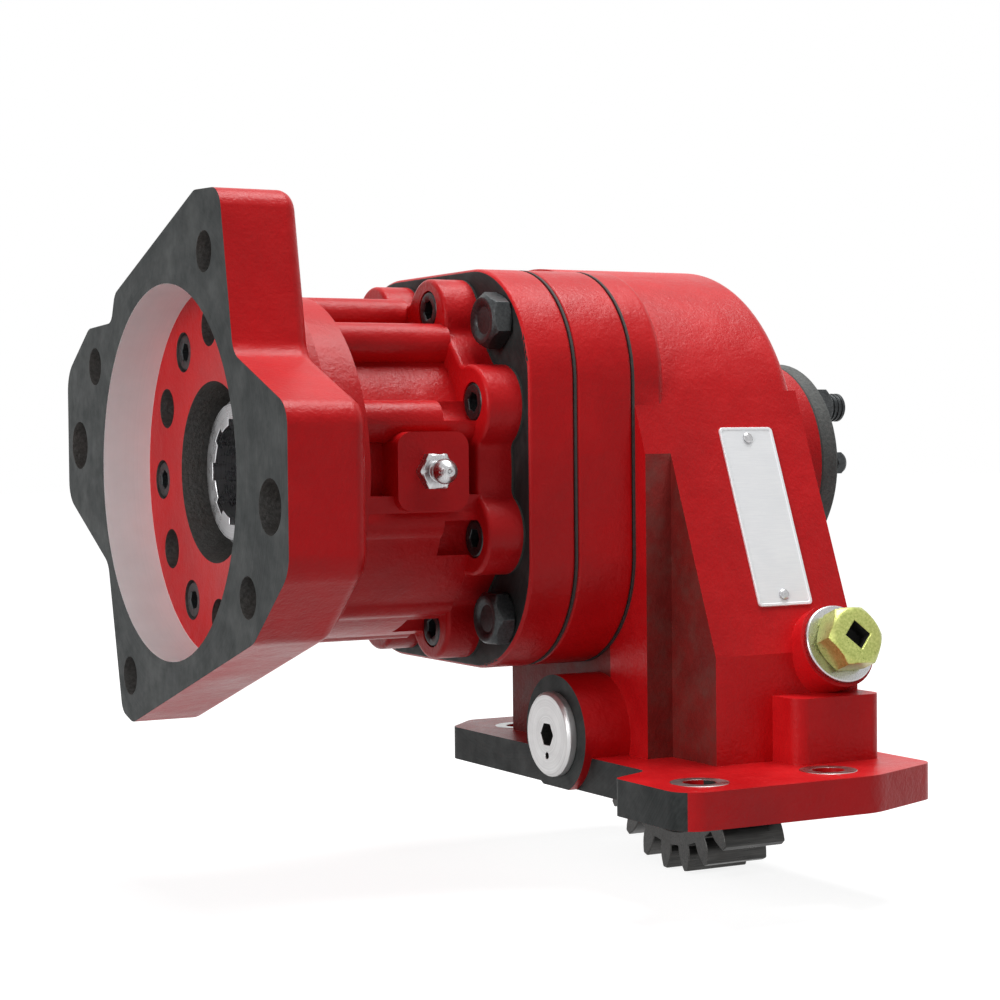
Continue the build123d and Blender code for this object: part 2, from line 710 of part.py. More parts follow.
def make_idler_spacers():
    """Tubes on the pin that set the driven gear between the walls of the casting."""
    outer = idler_pin_r + idler_spacer_wall
    front = tube(input_cavity_front_x, clutch_gear_x, outer, idler_pin_r, input_y, input_z)
    back = tube(clutch_gear_back_x, input_cavity_back_x, outer, idler_pin_r, input_y, input_z)
    return Compound(children=[front, back])


def make_output_shaft():
    """The output shaft: female splines for the pump, journals, a collar and grooves."""
    body = cyl(shaft_front_x, clutch_gear_back_x + 10.0, shaft_r)
    body += cyl(shaft_front_x, front_bearing_x + front_bearing[2], front_journal_r)
    body += cyl(front_bearing_x + front_bearing[2], front_bearing_x + front_bearing[2] + 5.0, 29.0)
    body += cyl(drum_hub_back_x, clutch_gear_x - thrust_washer_thickness - 2 * side_gap, shaft_collar_r)
    body += cyl(clutch_gear_back_x + 9.0, rear_bearing_x, 20.0)
    body += cyl(rear_bearing_x - 1, rear_bearing_x + rear_bearing[2] + 3.0, rear_journal_r)
    body -= cyl(shaft_front_x - 1, shaft_front_x + spline_depth, spline_tip_r)
    half_slot = spline_slot_width / 2
    for i in range(spline_teeth):
        slot = box(shaft_front_x - 1, shaft_front_x + spline_depth, 0, spline_root_r, -half_slot, half_slot)
        body -= Pos(0, output_y, output_z) * Rot(360.0 * i / spline_teeth, 0, 0) * slot
    body -= tube(gear_ring_x, gear_ring_x + 1.6, shaft_r + 1, shaft_r - 1.5)
    return body - tube(shaft_front_x - 1, shaft_front_x + 2, front_journal_r + 1, front_journal_r - 1.5)


def drum_slots(x_start, x_end, slot_width):
    """Six slots through the drum's wall for the lugs of the steel plates."""
    slots = []
    for i in range(drum_slot_count):
        slot = box(x_start, x_end, drum_bore_r - 4, drum_r + 2, -slot_width / 2, slot_width / 2)
        slots.append(Pos(0, output_y, output_z) * Rot(360.0 * i / drum_slot_count, 0, 0) * slot)
    return slots


def make_clutch_drum():
    """The clutch drum: a hub on the shaft, a front wall and a slotted rim."""
    body = cyl(clutch_front_x, drum_back_x, drum_r)
    body -= tube(clutch_front_x + drum_wall, drum_back_x + 1, drum_bore_r, drum_hub_r)
    body += cyl(clutch_front_x, drum_hub_back_x, drum_hub_r)
    for slot in drum_slots(first_plate_x - 1, drum_back_x + 1, 12.4):
        body -= slot
    body -= tube(end_plate_x + end_plate_thickness, end_plate_x + end_plate_thickness + 1.6,
                 drum_bore_r + 2.0, drum_bore_r - 1)
    body -= tube(spring_retainer_x + 2.0, spring_retainer_x + 3.6, drum_hub_r + 1, drum_hub_r - 1.5)
    return body - cyl(clutch_front_x - 1, drum_back_x + 30, shaft_r)


def make_steel_plate(x_start, thickness):
    """A steel clutch plate whose six lugs sit in the drum's slots."""
    ring = cyl(x_start, x_start + thickness, drum_bore_r - 0.5)
    for i in range(drum_slot_count):
        lug = box(x_start, x_start + thickness, drum_bore_r - 5, drum_r - 1.5, -6.0, 6.0)
        ring += Pos(0, output_y, output_z) * Rot(360.0 * i / drum_slot_count, 0, 0) * lug
    return ring - cyl(x_start - 1, x_start + thickness + 1, gear_tube_r + 3.5)


def make_friction_disc(x_start):
    """A friction disc whose inner teeth sit on the clutch gear's tube."""
    ring = cyl(x_start, x_start + disc_thickness, drum_bore_r - 1.5)
    hole = toothed_ring(x_start - 1, x_start + disc_thickness + 1, gear_tube_r + 0.25,
                        gear_tube_r + 2.25, 1.0, 12, 5.5)
    return ring - hole - cyl(x_start - 1, x_start + disc_thickness + 1, gear_tube_r)


def make_clutch_gear():
    """The clutch gear, with a toothed tube that reaches forward into the clutch."""
    phase = centre_lean + 180.0 + 180.0 / clutch_teeth
    body = slab(clutch_gear_x, clutch_gear_back_x, gear_outline(clutch_teeth, phase))
    front = piston_x + piston_thickness + piston_travel + 1.2
    lugs = toothed_ring(front, clutch_gear_x + 1, gear_tube_r, gear_tube_r + 2.0, 1.0, 12, 5.0)
    body += lugs - cyl(end_plate_x - 1, clutch_gear_x + 2, gear_tube_r + 4)
    body += cyl(end_plate_x - 1, clutch_gear_x + 1, gear_tube_r)
    body -= cyl(front - 1, clutch_gear_x, gear_tube_inner_r)
    return body - cyl(clutch_gear_x - 1, clutch_gear_back_x + 1, bush_r)


def make_clutch_piston():
    """The ring piston, with grooves for its inner and outer seals."""
    middle = piston_x + piston_thickness / 2
    body = tube(piston_x, piston_x + piston_thickness, drum_bore_r - running_gap, drum_hub_r + running_gap)
    body -= tube(middle - 1.5, middle + 1.5, drum_bore_r + 1, drum_bore_r - 3.0)
    return body - tube(middle - 1.5, middle + 1.5, drum_hub_r + 3.0, drum_hub_r - 1)


def make_piston_seals():
    """The outer and inner seal rings in the piston's grooves."""
    middle = piston_x + piston_thickness / 2
    outer = tube(middle - 1.4, middle + 1.4, drum_bore_r - running_gap, drum_bore_r - 2.9)
    inner = tube(middle - 1.4, middle + 1.4, drum_hub_r + 2.9, drum_hub_r + running_gap)
    return Compound(children=[outer, inner])


def make_return_spring():
    """The coil spring that pushes the piston back."""
    start = piston_x + piston_thickness + spring_wire_r
    length = spring_retainer_x - spring_wire_r - start
    path = Helix(pitch=length / 4, height=length, radius=spring_mean_r)
    wire = Plane(path @ 0, z_dir=path % 0) * Circle(spring_wire_r - 0.05)
    coil = sweep(wire, path=path, is_frenet=True)
    return Pos(start, output_y, output_z) * Rot(0, 90, 0) * coil


def make_oil_seal():
    """The lip seal in front of the front bearing."""
    body = tube(cap_front_x, seal_back_x, seal_bore_r, front_journal_r + running_gap)
    lip = tube(cap_front_x + 2.0, seal_back_x + 1, seal_bore_r - 2.0, front_journal_r + 2.0)
    return body - lip


def make_rear_cover():
    """The rear cover, with a spigot that holds the bearing."""
    cover_back_x = rear_cover_x + rear_cover_thickness
    plate = cyl(rear_cover_x, cover_back_x, rear_boss_r)
    plate = fillet(plate.faces().sort_by(Axis.X)[-1].edges(), 1.2)
    spigot_r = rear_bearing[1]
    body = plate + tube(rear_bearing_x + rear_bearing[2], rear_cover_x + 1, spigot_r, spigot_r - 5)
    for y, z in around(cover_screw_count, cover_screw_circle_r, 0):
        body -= cyl(rear_cover_x - 1, cover_back_x + 1, cover_screw[0] + 0.3, y, z)
    port_y, port_z = rear_port_place()
    return body - cyl(rear_cover_x - 1, cover_back_x + 1, rear_port_thread_r, port_y, port_z)


def rear_port_place():
    """The axis of the port fitting in the rear cover."""
    return (output_y + rear_port_out_y, output_z + rear_port_out_z)


def make_rear_port():
    """The black hexagon fitting of the rear cover, with a capped nose."""
    y, z = rear_port_place()
    seat = rear_cover_x + rear_cover_thickness
    body = slab(seat, seat + rear_port_height, RegularPolygon(rear_port_r, 6), y, z)
    body += cyl(seat + rear_port_height - 1, seat + rear_port_height + rear_port_nose, rear_port_nose_r, y, z)
    return body + cyl(rear_cover_x, seat + 1, rear_port_thread_r, y, z)


def make_cover_screws():
    """The screws of the rear cover, heads outwards."""
    head_x = rear_cover_x + rear_cover_thickness
    length = cover_screw_length - 1 + rear_cover_thickness + gasket_thickness
    places = around(cover_screw_count, cover_screw_circle_r, 0)
    return Compound(children=[hex_bolt(head_x, cover_screw, length, y, z, direction=-1) for y, z in places])


def make_lobe_screws():
    """The screws that hold the cap to the adapter, sunk into its lobes."""
    head_x = cap_flange_x + lobe_screw[2]
    length = cap_back_x - head_x + gasket_thickness + lobe_thread_depth
    places = around(lobe_count, lobe_bolt_circle_r, lobe_turn)
    return Compound(children=[socket_screw(head_x, lobe_screw, length, y, z) for y, z in places])


def make_corner_bolts():
    """The four long bolts through the adapter and the clutch housing."""
    length = main_front_x + main_flange_length - 3 - adapter_front_x
    places = around(corner_bolt_count, corner_bolt_circle_r, corner_turn)
    return Compound(children=[hex_bolt(adapter_front_x, corner_bolt, length, y, z) for y, z in places])


def make_bush():
    """The bronze bush of the clutch gear."""
    return tube(clutch_gear_x, clutch_gear_back_x, bush_r, shaft_r + running_gap)


def thrust_washer(x_start):
    """A bronze washer that keeps the clutch gear in its place."""
    return tube(x_start, x_start + thrust_washer_thickness, thrust_washer_r, shaft_r + running_gap)


def all_pieces():
    """Every node of the unit, by name."""
    pieces = {
        "pump_flange": make_pump_flange(),
        "pump_flange_screws": make_web_screws(),
        "front_cap": make_front_cap(),
        "cap_screws": make_lobe_screws(),
        "pressure_fitting": make_port_fitting(),
        "adapter_plate": make_adapter(),
        "clutch_housing": make_clutch_housing(),
        "housing_bolts": make_corner_bolts(),
        "main_housing": make_main_housing(),
        "side_plug": make_side_plug(),
        "side_plug_washer": make_side_washer(),
        "nameplate": make_nameplate(),
        "nameplate_pins": make_plate_pins(),
        "idler_plug": make_idler_plug(),
        "idler_pin": make_idler_pin(),
        "idler_spacers": make_idler_spacers(),
        "input_gear": make_input_gear(),
        "rear_cover": make_rear_cover(),
        "rear_cover_screws": make_cover_screws(),
        "rear_port_fitting": make_rear_port(),
        "shaft_oil_seal": make_oil_seal(),
        "output_shaft": make_output_shaft(),
        "clutch_drum": make_clutch_drum(),
        "clutch_gear": make_clutch_gear(),
        "clutch_gear_bush": make_bush(),
        "clutch_piston": make_clutch_piston(),
        "piston_seals": make_piston_seals(),
        "return_spring": make_return_spring(),
    }
    pieces.update(make_gaskets())
    pieces.update(make_bearings())
    pieces.update(make_clutch_pack())
    return pieces


def make_gaskets():
    """The gaskets between the castings."""
    corner_places = around(corner_bolt_count, corner_bolt_circle_r, corner_turn)
    lobe_places = around(lobe_count, lobe_bolt_circle_r, lobe_turn)
    cover_places = around(cover_screw_count, cover_screw_circle_r, 0)
    cap_shape = cap_flange_shape(cap_back_x, cap_back_x + gasket_thickness)
    adapter_shape = slab(adapter_back_x, adapter_back_x + gasket_thickness, housing_outline())
    main_shape = slab(clutch_housing_back_x, clutch_housing_back_x + gasket_thickness, housing_outline())
    cover_shape = cyl(rear_boss_x, rear_cover_x, rear_boss_r)
    bolt_r = corner_bolt[0] + bolt_hole_clearance
    spigot_r = rear_bearing[1]
    return {
        "cap_gasket": flat_gasket(cap_back_x, cap_shape, adapter_bore_r, lobe_places, lobe_screw[0]),
        "adapter_gasket": flat_gasket(adapter_back_x, adapter_shape, room_r, corner_places, bolt_r),
        "main_gasket": flat_gasket(clutch_housing_back_x, main_shape, room_r, corner_places, bolt_r),
        "rear_cover_gasket": flat_gasket(rear_boss_x, cover_shape, spigot_r, cover_places, cover_screw[0]),
    }


def make_bearings():
    """The four ball bearings, each as two races and its balls, and the ring that holds the front one."""
    pieces = {}
    places = {
        "front_bearing": (front_bearing_x, front_bearing, output_y, output_z),
        "rear_bearing": (rear_bearing_x, rear_bearing, output_y, output_z),
        "idler_bearing_1": (idler_stations()[0], idler_bearing, input_y, input_z),
        "idler_bearing_2": (idler_stations()[1], idler_bearing, input_y, input_z),
    }
    for name, (x_start, sizes, y, z) in places.items():
        inner, outer, balls = ball_bearing(x_start, sizes, y, z)
        pieces[name + "_inner_race"] = inner
        pieces[name + "_outer_race"] = outer
        pieces[name + "_balls"] = balls
    ring_x = front_bearing_x + front_bearing[2]
    pieces["front_bearing_ring"] = split_ring(ring_x, 1.8, front_bearing[1] - 3.0, front_bearing[1] + 1.8)
    return pieces


def make_clutch_pack():
    """The steel plates, the friction discs and the rings that hold them."""
    pieces = {}
    for i in range(disc_count):
        x = first_plate_x + i * plate_pitch
        pieces["steel_plate_%d" % (i + 1)] = make_steel_plate(x, plate_thickness_steel)
        pieces["friction_disc_%d" % (i + 1)] = make_friction_disc(x + plate_thickness_steel + side_gap)
    pieces["end_plate"] = make_steel_plate(end_plate_x, end_plate_thickness)
    ring_x = end_plate_x + end_plate_thickness
    pieces["end_plate_ring"] = split_ring(ring_x, 1.5, drum_bore_r - 3.0, drum_bore_r + 1.8)
    retainer_back_x = spring_retainer_x + 2.0
    pieces["spring_retainer"] = tube(spring_retainer_x, retainer_back_x, spring_retainer_r, drum_hub_r)
    pieces["spring_retainer_ring"] = split_ring(retainer_back_x, 1.5, drum_hub_r - 1.3, drum_hub_r + 3.0)
    pieces["thrust_washer_front"] = thrust_washer(clutch_gear_x - thrust_washer_thickness - side_gap)
    pieces["thrust_washer_rear"] = thrust_washer(clutch_gear_back_x + side_gap)
    pieces["gear_snap_ring"] = split_ring(gear_ring_x, 1.5, shaft_r - 1.3, shaft_r + 3.0)
    return pieces


os.makedirs("parts", exist_ok=True)
for node_name, shape in all_pieces().items():
    export_step(shape, "parts/" + node_name + ".step")
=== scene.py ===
"""The looks of a power take off unit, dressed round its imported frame, in metres and degrees."""
import json
import logging
import math
from dataclasses import dataclass, field
from enum import Enum

import bmesh
import bpy
from mathutils import Matrix, Vector

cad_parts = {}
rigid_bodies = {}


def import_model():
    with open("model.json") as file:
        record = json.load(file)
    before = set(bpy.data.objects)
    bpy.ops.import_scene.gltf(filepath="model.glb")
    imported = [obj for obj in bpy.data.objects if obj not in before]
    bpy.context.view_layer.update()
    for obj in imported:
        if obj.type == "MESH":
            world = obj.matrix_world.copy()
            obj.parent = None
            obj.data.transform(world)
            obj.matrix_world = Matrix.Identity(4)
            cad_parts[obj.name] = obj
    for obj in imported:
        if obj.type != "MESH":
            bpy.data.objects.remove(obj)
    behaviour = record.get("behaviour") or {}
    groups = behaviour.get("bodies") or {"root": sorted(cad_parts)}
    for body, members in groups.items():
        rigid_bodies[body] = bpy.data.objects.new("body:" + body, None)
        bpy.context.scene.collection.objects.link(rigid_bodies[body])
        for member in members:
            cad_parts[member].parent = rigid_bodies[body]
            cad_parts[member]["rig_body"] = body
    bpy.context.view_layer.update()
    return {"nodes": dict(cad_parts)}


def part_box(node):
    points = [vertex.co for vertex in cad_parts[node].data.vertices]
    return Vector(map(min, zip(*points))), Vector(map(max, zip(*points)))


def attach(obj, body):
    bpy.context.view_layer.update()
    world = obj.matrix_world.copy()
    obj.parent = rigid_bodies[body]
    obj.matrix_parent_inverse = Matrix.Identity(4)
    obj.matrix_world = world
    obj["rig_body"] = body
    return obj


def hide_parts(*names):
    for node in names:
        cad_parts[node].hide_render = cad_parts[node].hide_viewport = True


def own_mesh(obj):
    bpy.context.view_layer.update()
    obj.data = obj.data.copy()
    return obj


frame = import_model()

LOG = logging.getLogger("power_take_off")

MM = 0.001
OUTPUT_AXIS = (50.073 * MM, 110.487 * MM)
INPUT_AXIS = (6.0 * MM, 18.5 * MM)
WALL_LEAN = 21.5
WELD_DISTANCE = 1e-6
FLAT_ANGLE = 0.4
SHARP_ANGLE = 32.0
NEAR = 0.15 * MM
FACING = 0.7
SQUARE_TO = 0.9
KNURL_DEPTH = 0.015
FLAT_SHARE = math.cos(math.pi / 6)
WHITE = (1, 1, 1, 1)

TO_REAR = Vector((1, 0, 0))
TO_PUMP = Vector((-1, 0, 0))
WALL_OUT = Vector((0, -math.cos(math.radians(WALL_LEAN)), math.sin(math.radians(WALL_LEAN))))
WALL_UP = Vector((0, math.sin(math.radians(WALL_LEAN)), math.cos(math.radians(WALL_LEAN))))

Colour = tuple[float, float, float]


class Grain(Enum):
    """How the surface of a metal was made."""

    CAST = "cast"
    TURNED = "turned"
    MILLED = "milled"
    PLAIN = "plain"


class Outline(Enum):
    """The shape of one ring of a turned or headed piece."""

    ROUND = "round"
    HEXAGON = "hexagon"
    SQUARE = "square"
    KNURL = "knurl"


CORNERS = {Outline.HEXAGON: 6, Outline.SQUARE: 4}


class NodeBench:
    """Lays out the shader nodes of one material."""

    def __init__(self, name: str) -> None:
        """Starts a material with its principled shader.

        Args:
            name: The material's name.
        """
        self.material = bpy.data.materials.new(name)
        self.material.use_nodes = True
        self.tree = self.material.node_tree
        self.shader = self.tree.nodes["Principled BSDF"]
        self.place = self.add("ShaderNodeTexCoord").outputs["Object"]

    def add(self, kind: str, **settings: object) -> bpy.types.Node:
        """Adds a node.

        Args:
            kind: The node's type name.
            settings: Attributes of the node to set.

        Returns:
            The new node.
        """
        node = self.tree.nodes.new(kind)
        for key, value in settings.items():
            setattr(node, key, value)
        return node

    def feed(self, socket: bpy.types.NodeSocket, source: object) -> None:
        """Links a socket to another one, or writes a plain value into it.

        Args:
            socket: The input to fill.
            source: An output socket, a number or a tuple.
        """
        if isinstance(source, bpy.types.NodeSocket):
            self.tree.links.new(source, socket)
        else:
            socket.default_value = source

    def sum(self, operation: str, first: object, second: object = 0.0) -> bpy.types.NodeSocket:
        """One step of arithmetic on two numbers.

        Args:
            operation: The math node's operation.
            first: A socket or a number.
            second: A socket or a number.

        Returns:
            The result's socket.
        """
        node = self.add("ShaderNodeMath", operation=operation)
        self.feed(node.inputs[0], first)
        self.feed(node.inputs[1], second)
        return node.outputs[0]

    def noise(self, size: float, detail: float = 2.0, rough: float = 0.5,
              place: object = None) -> bpy.types.NodeSocket:
        """A noise pattern.

        Args:
            size: The width of its largest lumps, in metres.
            detail: How many finer layers it has.
            rough: How strong the finer layers are.
            place: Another coordinate than the piece's own.

        Returns:
            The pattern's factor.
        """
        node = self.add("ShaderNodeTexNoise")
        self.feed(node.inputs["Vector"], place or self.place)
        self.feed(node.inputs["Scale"], 1.0 / size)
        self.feed(node.inputs["Detail"], detail)
        self.feed(node.inputs["Roughness"], rough)
        return node.outputs["Fac"]

    def spread(self, factor: object, low: float, high: float, start: float = 0.3,
               end: float = 0.7) -> bpy.types.NodeSocket:
        """Stretches a pattern between two values.

        Args:
            factor: The pattern.
            low: The value at its start.
            high: The value at its end.
            start: The pattern's level that gives the low value.
            end: The pattern's level that gives the high value.

        Returns:
            The stretched value's socket.
        """
        node = self.add("ShaderNodeMapRange")
        for index, value in enumerate((factor, start, end, low, high)):
            self.feed(node.inputs[index], value)
        return node.outputs[0]

    def shade(self, factor: object, low: object, high: object) -> bpy.types.NodeSocket:
        """Mixes two colours.

        Args:
            factor: How much of the second colour shows.
            low: The first colour, or its socket.
            high: The second colour, or its socket.

        Returns:
            The mixed colour's socket.
        """
        node = self.add("ShaderNodeMix", data_type="RGBA")
        self.feed(node.inputs[0], factor)
        self.feed(node.inputs[6], low if isinstance(low, bpy.types.NodeSocket) else (*low, 1.0))
        self.feed(node.inputs[7], high if isinstance(high, bpy.types.NodeSocket) else (*high, 1.0))
        return node.outputs[2]

    def split(self) -> tuple[bpy.types.NodeSocket, ...]:
        """The three coordinates of a place on the piece.

        Returns:
            One socket for each coordinate.
        """
        node = self.add("ShaderNodeSeparateXYZ")
        self.feed(node.inputs[0], self.place)
        return tuple(node.outputs)

    def join(self, x: object, y: object, z: object) -> bpy.types.NodeSocket:
        """A place made from three coordinates.

        Args:
            x: A socket or a number.
            y: A socket or a number.
            z: A socket or a number.

        Returns:
            The place's socket.
        """
        node = self.add("ShaderNodeCombineXYZ")
        for index, value in enumerate((x, y, z)):
            self.feed(node.inputs[index], value)
        return node.outputs[0]

    def radius(self, first: object, second: object, centre: tuple[float, float]) -> bpy.types.NodeSocket:
        """The distance from an axis.

        Args:
            first: The first of the two coordinates across the axis.
            second: The second one.
            centre: The axis' place in these coordinates.

        Returns:
            The distance's socket.
        """
        one = self.sum("SUBTRACT", first, centre[0])
        two = self.sum("SUBTRACT", second, centre[1])
        squares = self.sum("ADD", self.sum("MULTIPLY", one, one), self.sum("MULTIPLY", two, two))
        return self.sum("SQRT", squares)

    def stretched(self, x: float, y: float, z: float) -> bpy.types.NodeSocket:
        """The piece's own coordinates, each multiplied by a number.

        Args:
            x: The number for X.
            y: The number for Y.
            z: The number for Z.

        Returns:
            The stretched place's socket.
        """
        node = self.add("ShaderNodeMapping")
        self.feed(node.inputs["Vector"], self.place)
        self.feed(node.inputs["Scale"], (x, y, z))
        return node.outputs[0]

    def bump(self, layers: list[tuple[object, float]]) -> None:
        """Stacks bump layers on the shader's normal.

        Args:
            layers: Each layer's height pattern and its depth in metres.
        """
        normal = None
        for height, depth in layers:
            node = self.add("ShaderNodeBump")
            self.feed(node.inputs["Height"], height)
            self.feed(node.inputs["Distance"], depth)
            if normal is not None:
                self.feed(node.inputs["Normal"], normal)
            normal = node.outputs["Normal"]
        self.feed(self.shader.inputs["Normal"], normal)

    def surface(self, colour: object, roughness: object, metallic: float, gloss: float) -> None:
        """Fills the shader's main sockets.

        Args:
            colour: The base colour or its socket.
            roughness: The roughness or its socket.
            metallic: 1 for bare metal, 0 for paint or rubber.
            gloss: The specular level of what isn't metal.
        """
        self.feed(self.shader.inputs["Base Color"], colour)
        self.feed(self.shader.inputs["Roughness"], roughness)
        self.feed(self.shader.inputs["Metallic"], metallic)
        self.feed(self.shader.inputs["Specular IOR Level"], gloss)


@dataclass(frozen=True)
class Finish:
    """A finish: its name and the record's slot that it belongs to."""

    name: str
    slot: str

    def lay(self, bench: NodeBench) -> None:
        """Lays out the finish on a bench; each kind of finish has its own way."""
        raise NotImplementedError

    def material(self) -> bpy.types.Material:
        """The finish's material, made on first use.

        Returns:
            The material.
        """
        found = bpy.data.materials.get(self.name)
        if found:
            return found
        bench = NodeBench(self.name)
        self.lay(bench)
        return bench.material


@dataclass(frozen=True)
class Enamel(Finish):
    """Gloss enamel over a sand casting."""

    deep: Colour = (0.47, 0.0060, 0.0085)
    bright: Colour = (0.62, 0.0095, 0.0130)
    # The film's colour: a dusty tint on the plain enamel, a painted highlight on the edge enamel, painted
    # shade on the shaded block enamel.
    dust_and_painted_light: Colour = (0.66, 0.060, 0.055)
    dust_and_painted_light_share: float = 0.10
    patch: float = 0.045
    gloss: float = 0.18
    smoothest: float = 0.28
    roughest: float = 0.44
    grain_size: float = 1.3 * MM
    grain_depth: float = 0.18 * MM
    peel_size: float = 4.5 * MM
    peel_share: float = 0.7
    wave_size: float = 14.0 * MM
    wave_share: float = 2.5
    dust_and_painted_light_size: float = 11.0 * MM
    pit_size: float = 0.9 * MM
    pit_share: float = 0.35
    pit_shade: float = 0.45

    def lay(self, bench: NodeBench) -> None:
        """Cloudy red with a thin film over it, orange peel and the sand's grain under it; the film is a dusty
        tint on the plain enamel, a painted highlight on the edge enamel and painted shade on the shaded block
        enamel.

        Args:
            bench: The bench of the finish's material.
        """
        clouds = bench.noise(self.patch, 4.0, 0.6)
        grain = bench.noise(self.grain_size, 3.0, 0.6)
        peel = bench.noise(self.peel_size, 1.0, 0.4)
        colour = bench.shade(bench.spread(clouds, 0.0, 1.0), self.deep, self.bright)
        film = bench.spread(bench.noise(self.dust_and_painted_light_size, 5.0, 0.7), 0.0, self.dust_and_painted_light_share, start=0.45, end=0.75)
        colour = bench.shade(film, colour, self.dust_and_painted_light)
        pits = bench.spread(bench.noise(self.pit_size, 1.0, 0.5), self.pit_share, 0.0, start=0.16, end=0.27)
        colour = bench.shade(pits, colour, tuple(self.pit_shade * part for part in self.deep))
        cloudy_grain = bench.sum("ADD", clouds, bench.sum("MULTIPLY", grain, 0.35))
        roughness = bench.spread(cloudy_grain, self.smoothest, self.roughest, start=0.5, end=0.9)
        bench.surface(colour, roughness, 0.0, self.gloss)
        bench.bump([(bench.noise(self.wave_size), self.wave_share * self.grain_depth),
                    (peel, self.peel_share * self.grain_depth), (grain, self.grain_depth)])


@dataclass(frozen=True)
class Metal(Finish):
    """Bare, plated or blackened metal."""

    light: Colour = (0.60, 0.60, 0.61)
    dark: Colour = (0.40, 0.40, 0.41)
    stain: Colour = (0.20, 0.19, 0.18)
    stain_share: float = 0.25
    smoothest: float = 0.22
    roughest: float = 0.40
    metallic: float = 1.0
    gloss: float = 0.5
    grain: Grain = Grain.PLAIN
    mark: float = 0.5 * MM
    mark_depth: float = 0.04 * MM
    mill_stretch: float = 0.04
    sand: float = 1.2 * MM
    pit: float = 0.8 * MM
    stain_size: float = 18.0 * MM
    smudge_size: float = 7.0 * MM
    axis: tuple[float, float] = OUTPUT_AXIS

    def marks(self, bench: NodeBench) -> bpy.types.NodeSocket:
        """The tool marks, sand grain or fine pits of the metal.

        Args:
            bench: The bench of the finish's material.

        Returns:
            The pattern's socket.
        """
        if self.grain is Grain.TURNED:
            x, y, z = bench.split()
            return bench.noise(self.mark, 3.0, 0.65, bench.join(x, bench.radius(y, z, self.axis), 0.0))
        if self.grain is Grain.MILLED:
            return bench.noise(self.mark, 3.0, 0.65, bench.stretched(self.mill_stretch, 1.0, 1.0))
        if self.grain is Grain.CAST:
            return bench.noise(self.sand, 4.0, 0.65)
        return bench.noise(self.pit)

    def lay(self, bench: NodeBench) -> None:
        """Two tones that follow the tool marks, with stains and smudges.

        Args:
            bench: The bench of the finish's material.
        """
        marks = self.marks(bench)
        clouds = bench.noise(self.stain_size, 4.0, 0.65)
        colour = bench.shade(bench.spread(marks, 0.0, 1.0), self.dark, self.light)
        stains = bench.spread(clouds, 0.0, self.stain_share, start=0.45, end=0.75)
        colour = bench.shade(stains, colour, self.stain)
        smudge = bench.sum("ADD", bench.sum("MULTIPLY", marks, 0.4), bench.noise(self.smudge_size, 4.0, 0.6))
        roughness = bench.spread(smudge, self.smoothest, self.roughest, start=0.5, end=0.95)
        bench.surface(colour, roughness, self.metallic, self.gloss)
        bench.bump([(marks, self.mark_depth)])


@dataclass(frozen=True)
class Soft(Finish):
    """Gasket paper, rubber or friction lining."""

    light: Colour = (0.075, 0.072, 0.068)
    dark: Colour = (0.035, 0.034, 0.033)
    fibre: float = 1.5 * MM
    fibre_depth: float = 0.1 * MM
    smoothest: float = 0.6
    roughest: float = 0.85
    gloss: float = 0.3

    def lay(self, bench: NodeBench) -> None:
        """A matt surface with short fibres.

        Args:
            bench: The bench of the finish's material.
        """
        fibres = bench.noise(self.fibre, 5.0, 0.7)
        colour = bench.shade(bench.spread(fibres, 0.0, 1.0), self.dark, self.light)
        bench.surface(colour, bench.spread(fibres, self.smoothest, self.roughest), 0.0, self.gloss)
        bench.bump([(fibres, self.fibre_depth)])


RED_ENAMEL = Enamel("red_enamel", "red_paint")
# Lighter, pinker red on the rounded edges: partly paint worn thin, partly a painted highlight along the
# edges.
ENAMEL_EDGE_WEAR_AND_HIGHLIGHT = Enamel("red_enamel_edge_wear_and_painted_highlight", "red_paint", deep=(0.55, 0.016, 0.018), bright=(0.70, 0.045, 0.042),
                     dust_and_painted_light=(0.78, 0.20, 0.18), dust_and_painted_light_share=0.3, patch=0.012, smoothest=0.22, roughest=0.36)
# Painted shade: a dark, dusty-looking red laid on the block's faces toward the pump and in the step, which
# lie in shade.
SHADED_BLOCK_ENAMEL = Enamel("red_enamel_painted_shade", "red_paint", deep=(0.15, 0.014, 0.012), bright=(0.25, 0.020, 0.017),
                      dust_and_painted_light=(0.11, 0.075, 0.06), dust_and_painted_light_share=0.45, patch=0.02, gloss=0.15, smoothest=0.42,
                      roughest=0.62)
# Near-black turned finish: the own dark tone of the machined front faces, and painted shade where it is laid
# on the pad's front edges and on the adapter's front face.
DARK_FACE_AND_SHADE = Metal("dark_machined_face_and_painted_shade", "steel", light=(0.028, 0.032, 0.032), dark=(0.010, 0.012, 0.012),
                  stain=(0.085, 0.09, 0.088), stain_share=0.5, smoothest=0.45, roughest=0.65, metallic=0.0,
                  gloss=0.16, grain=Grain.TURNED, mark=0.9 * MM, mark_depth=0.06 * MM)
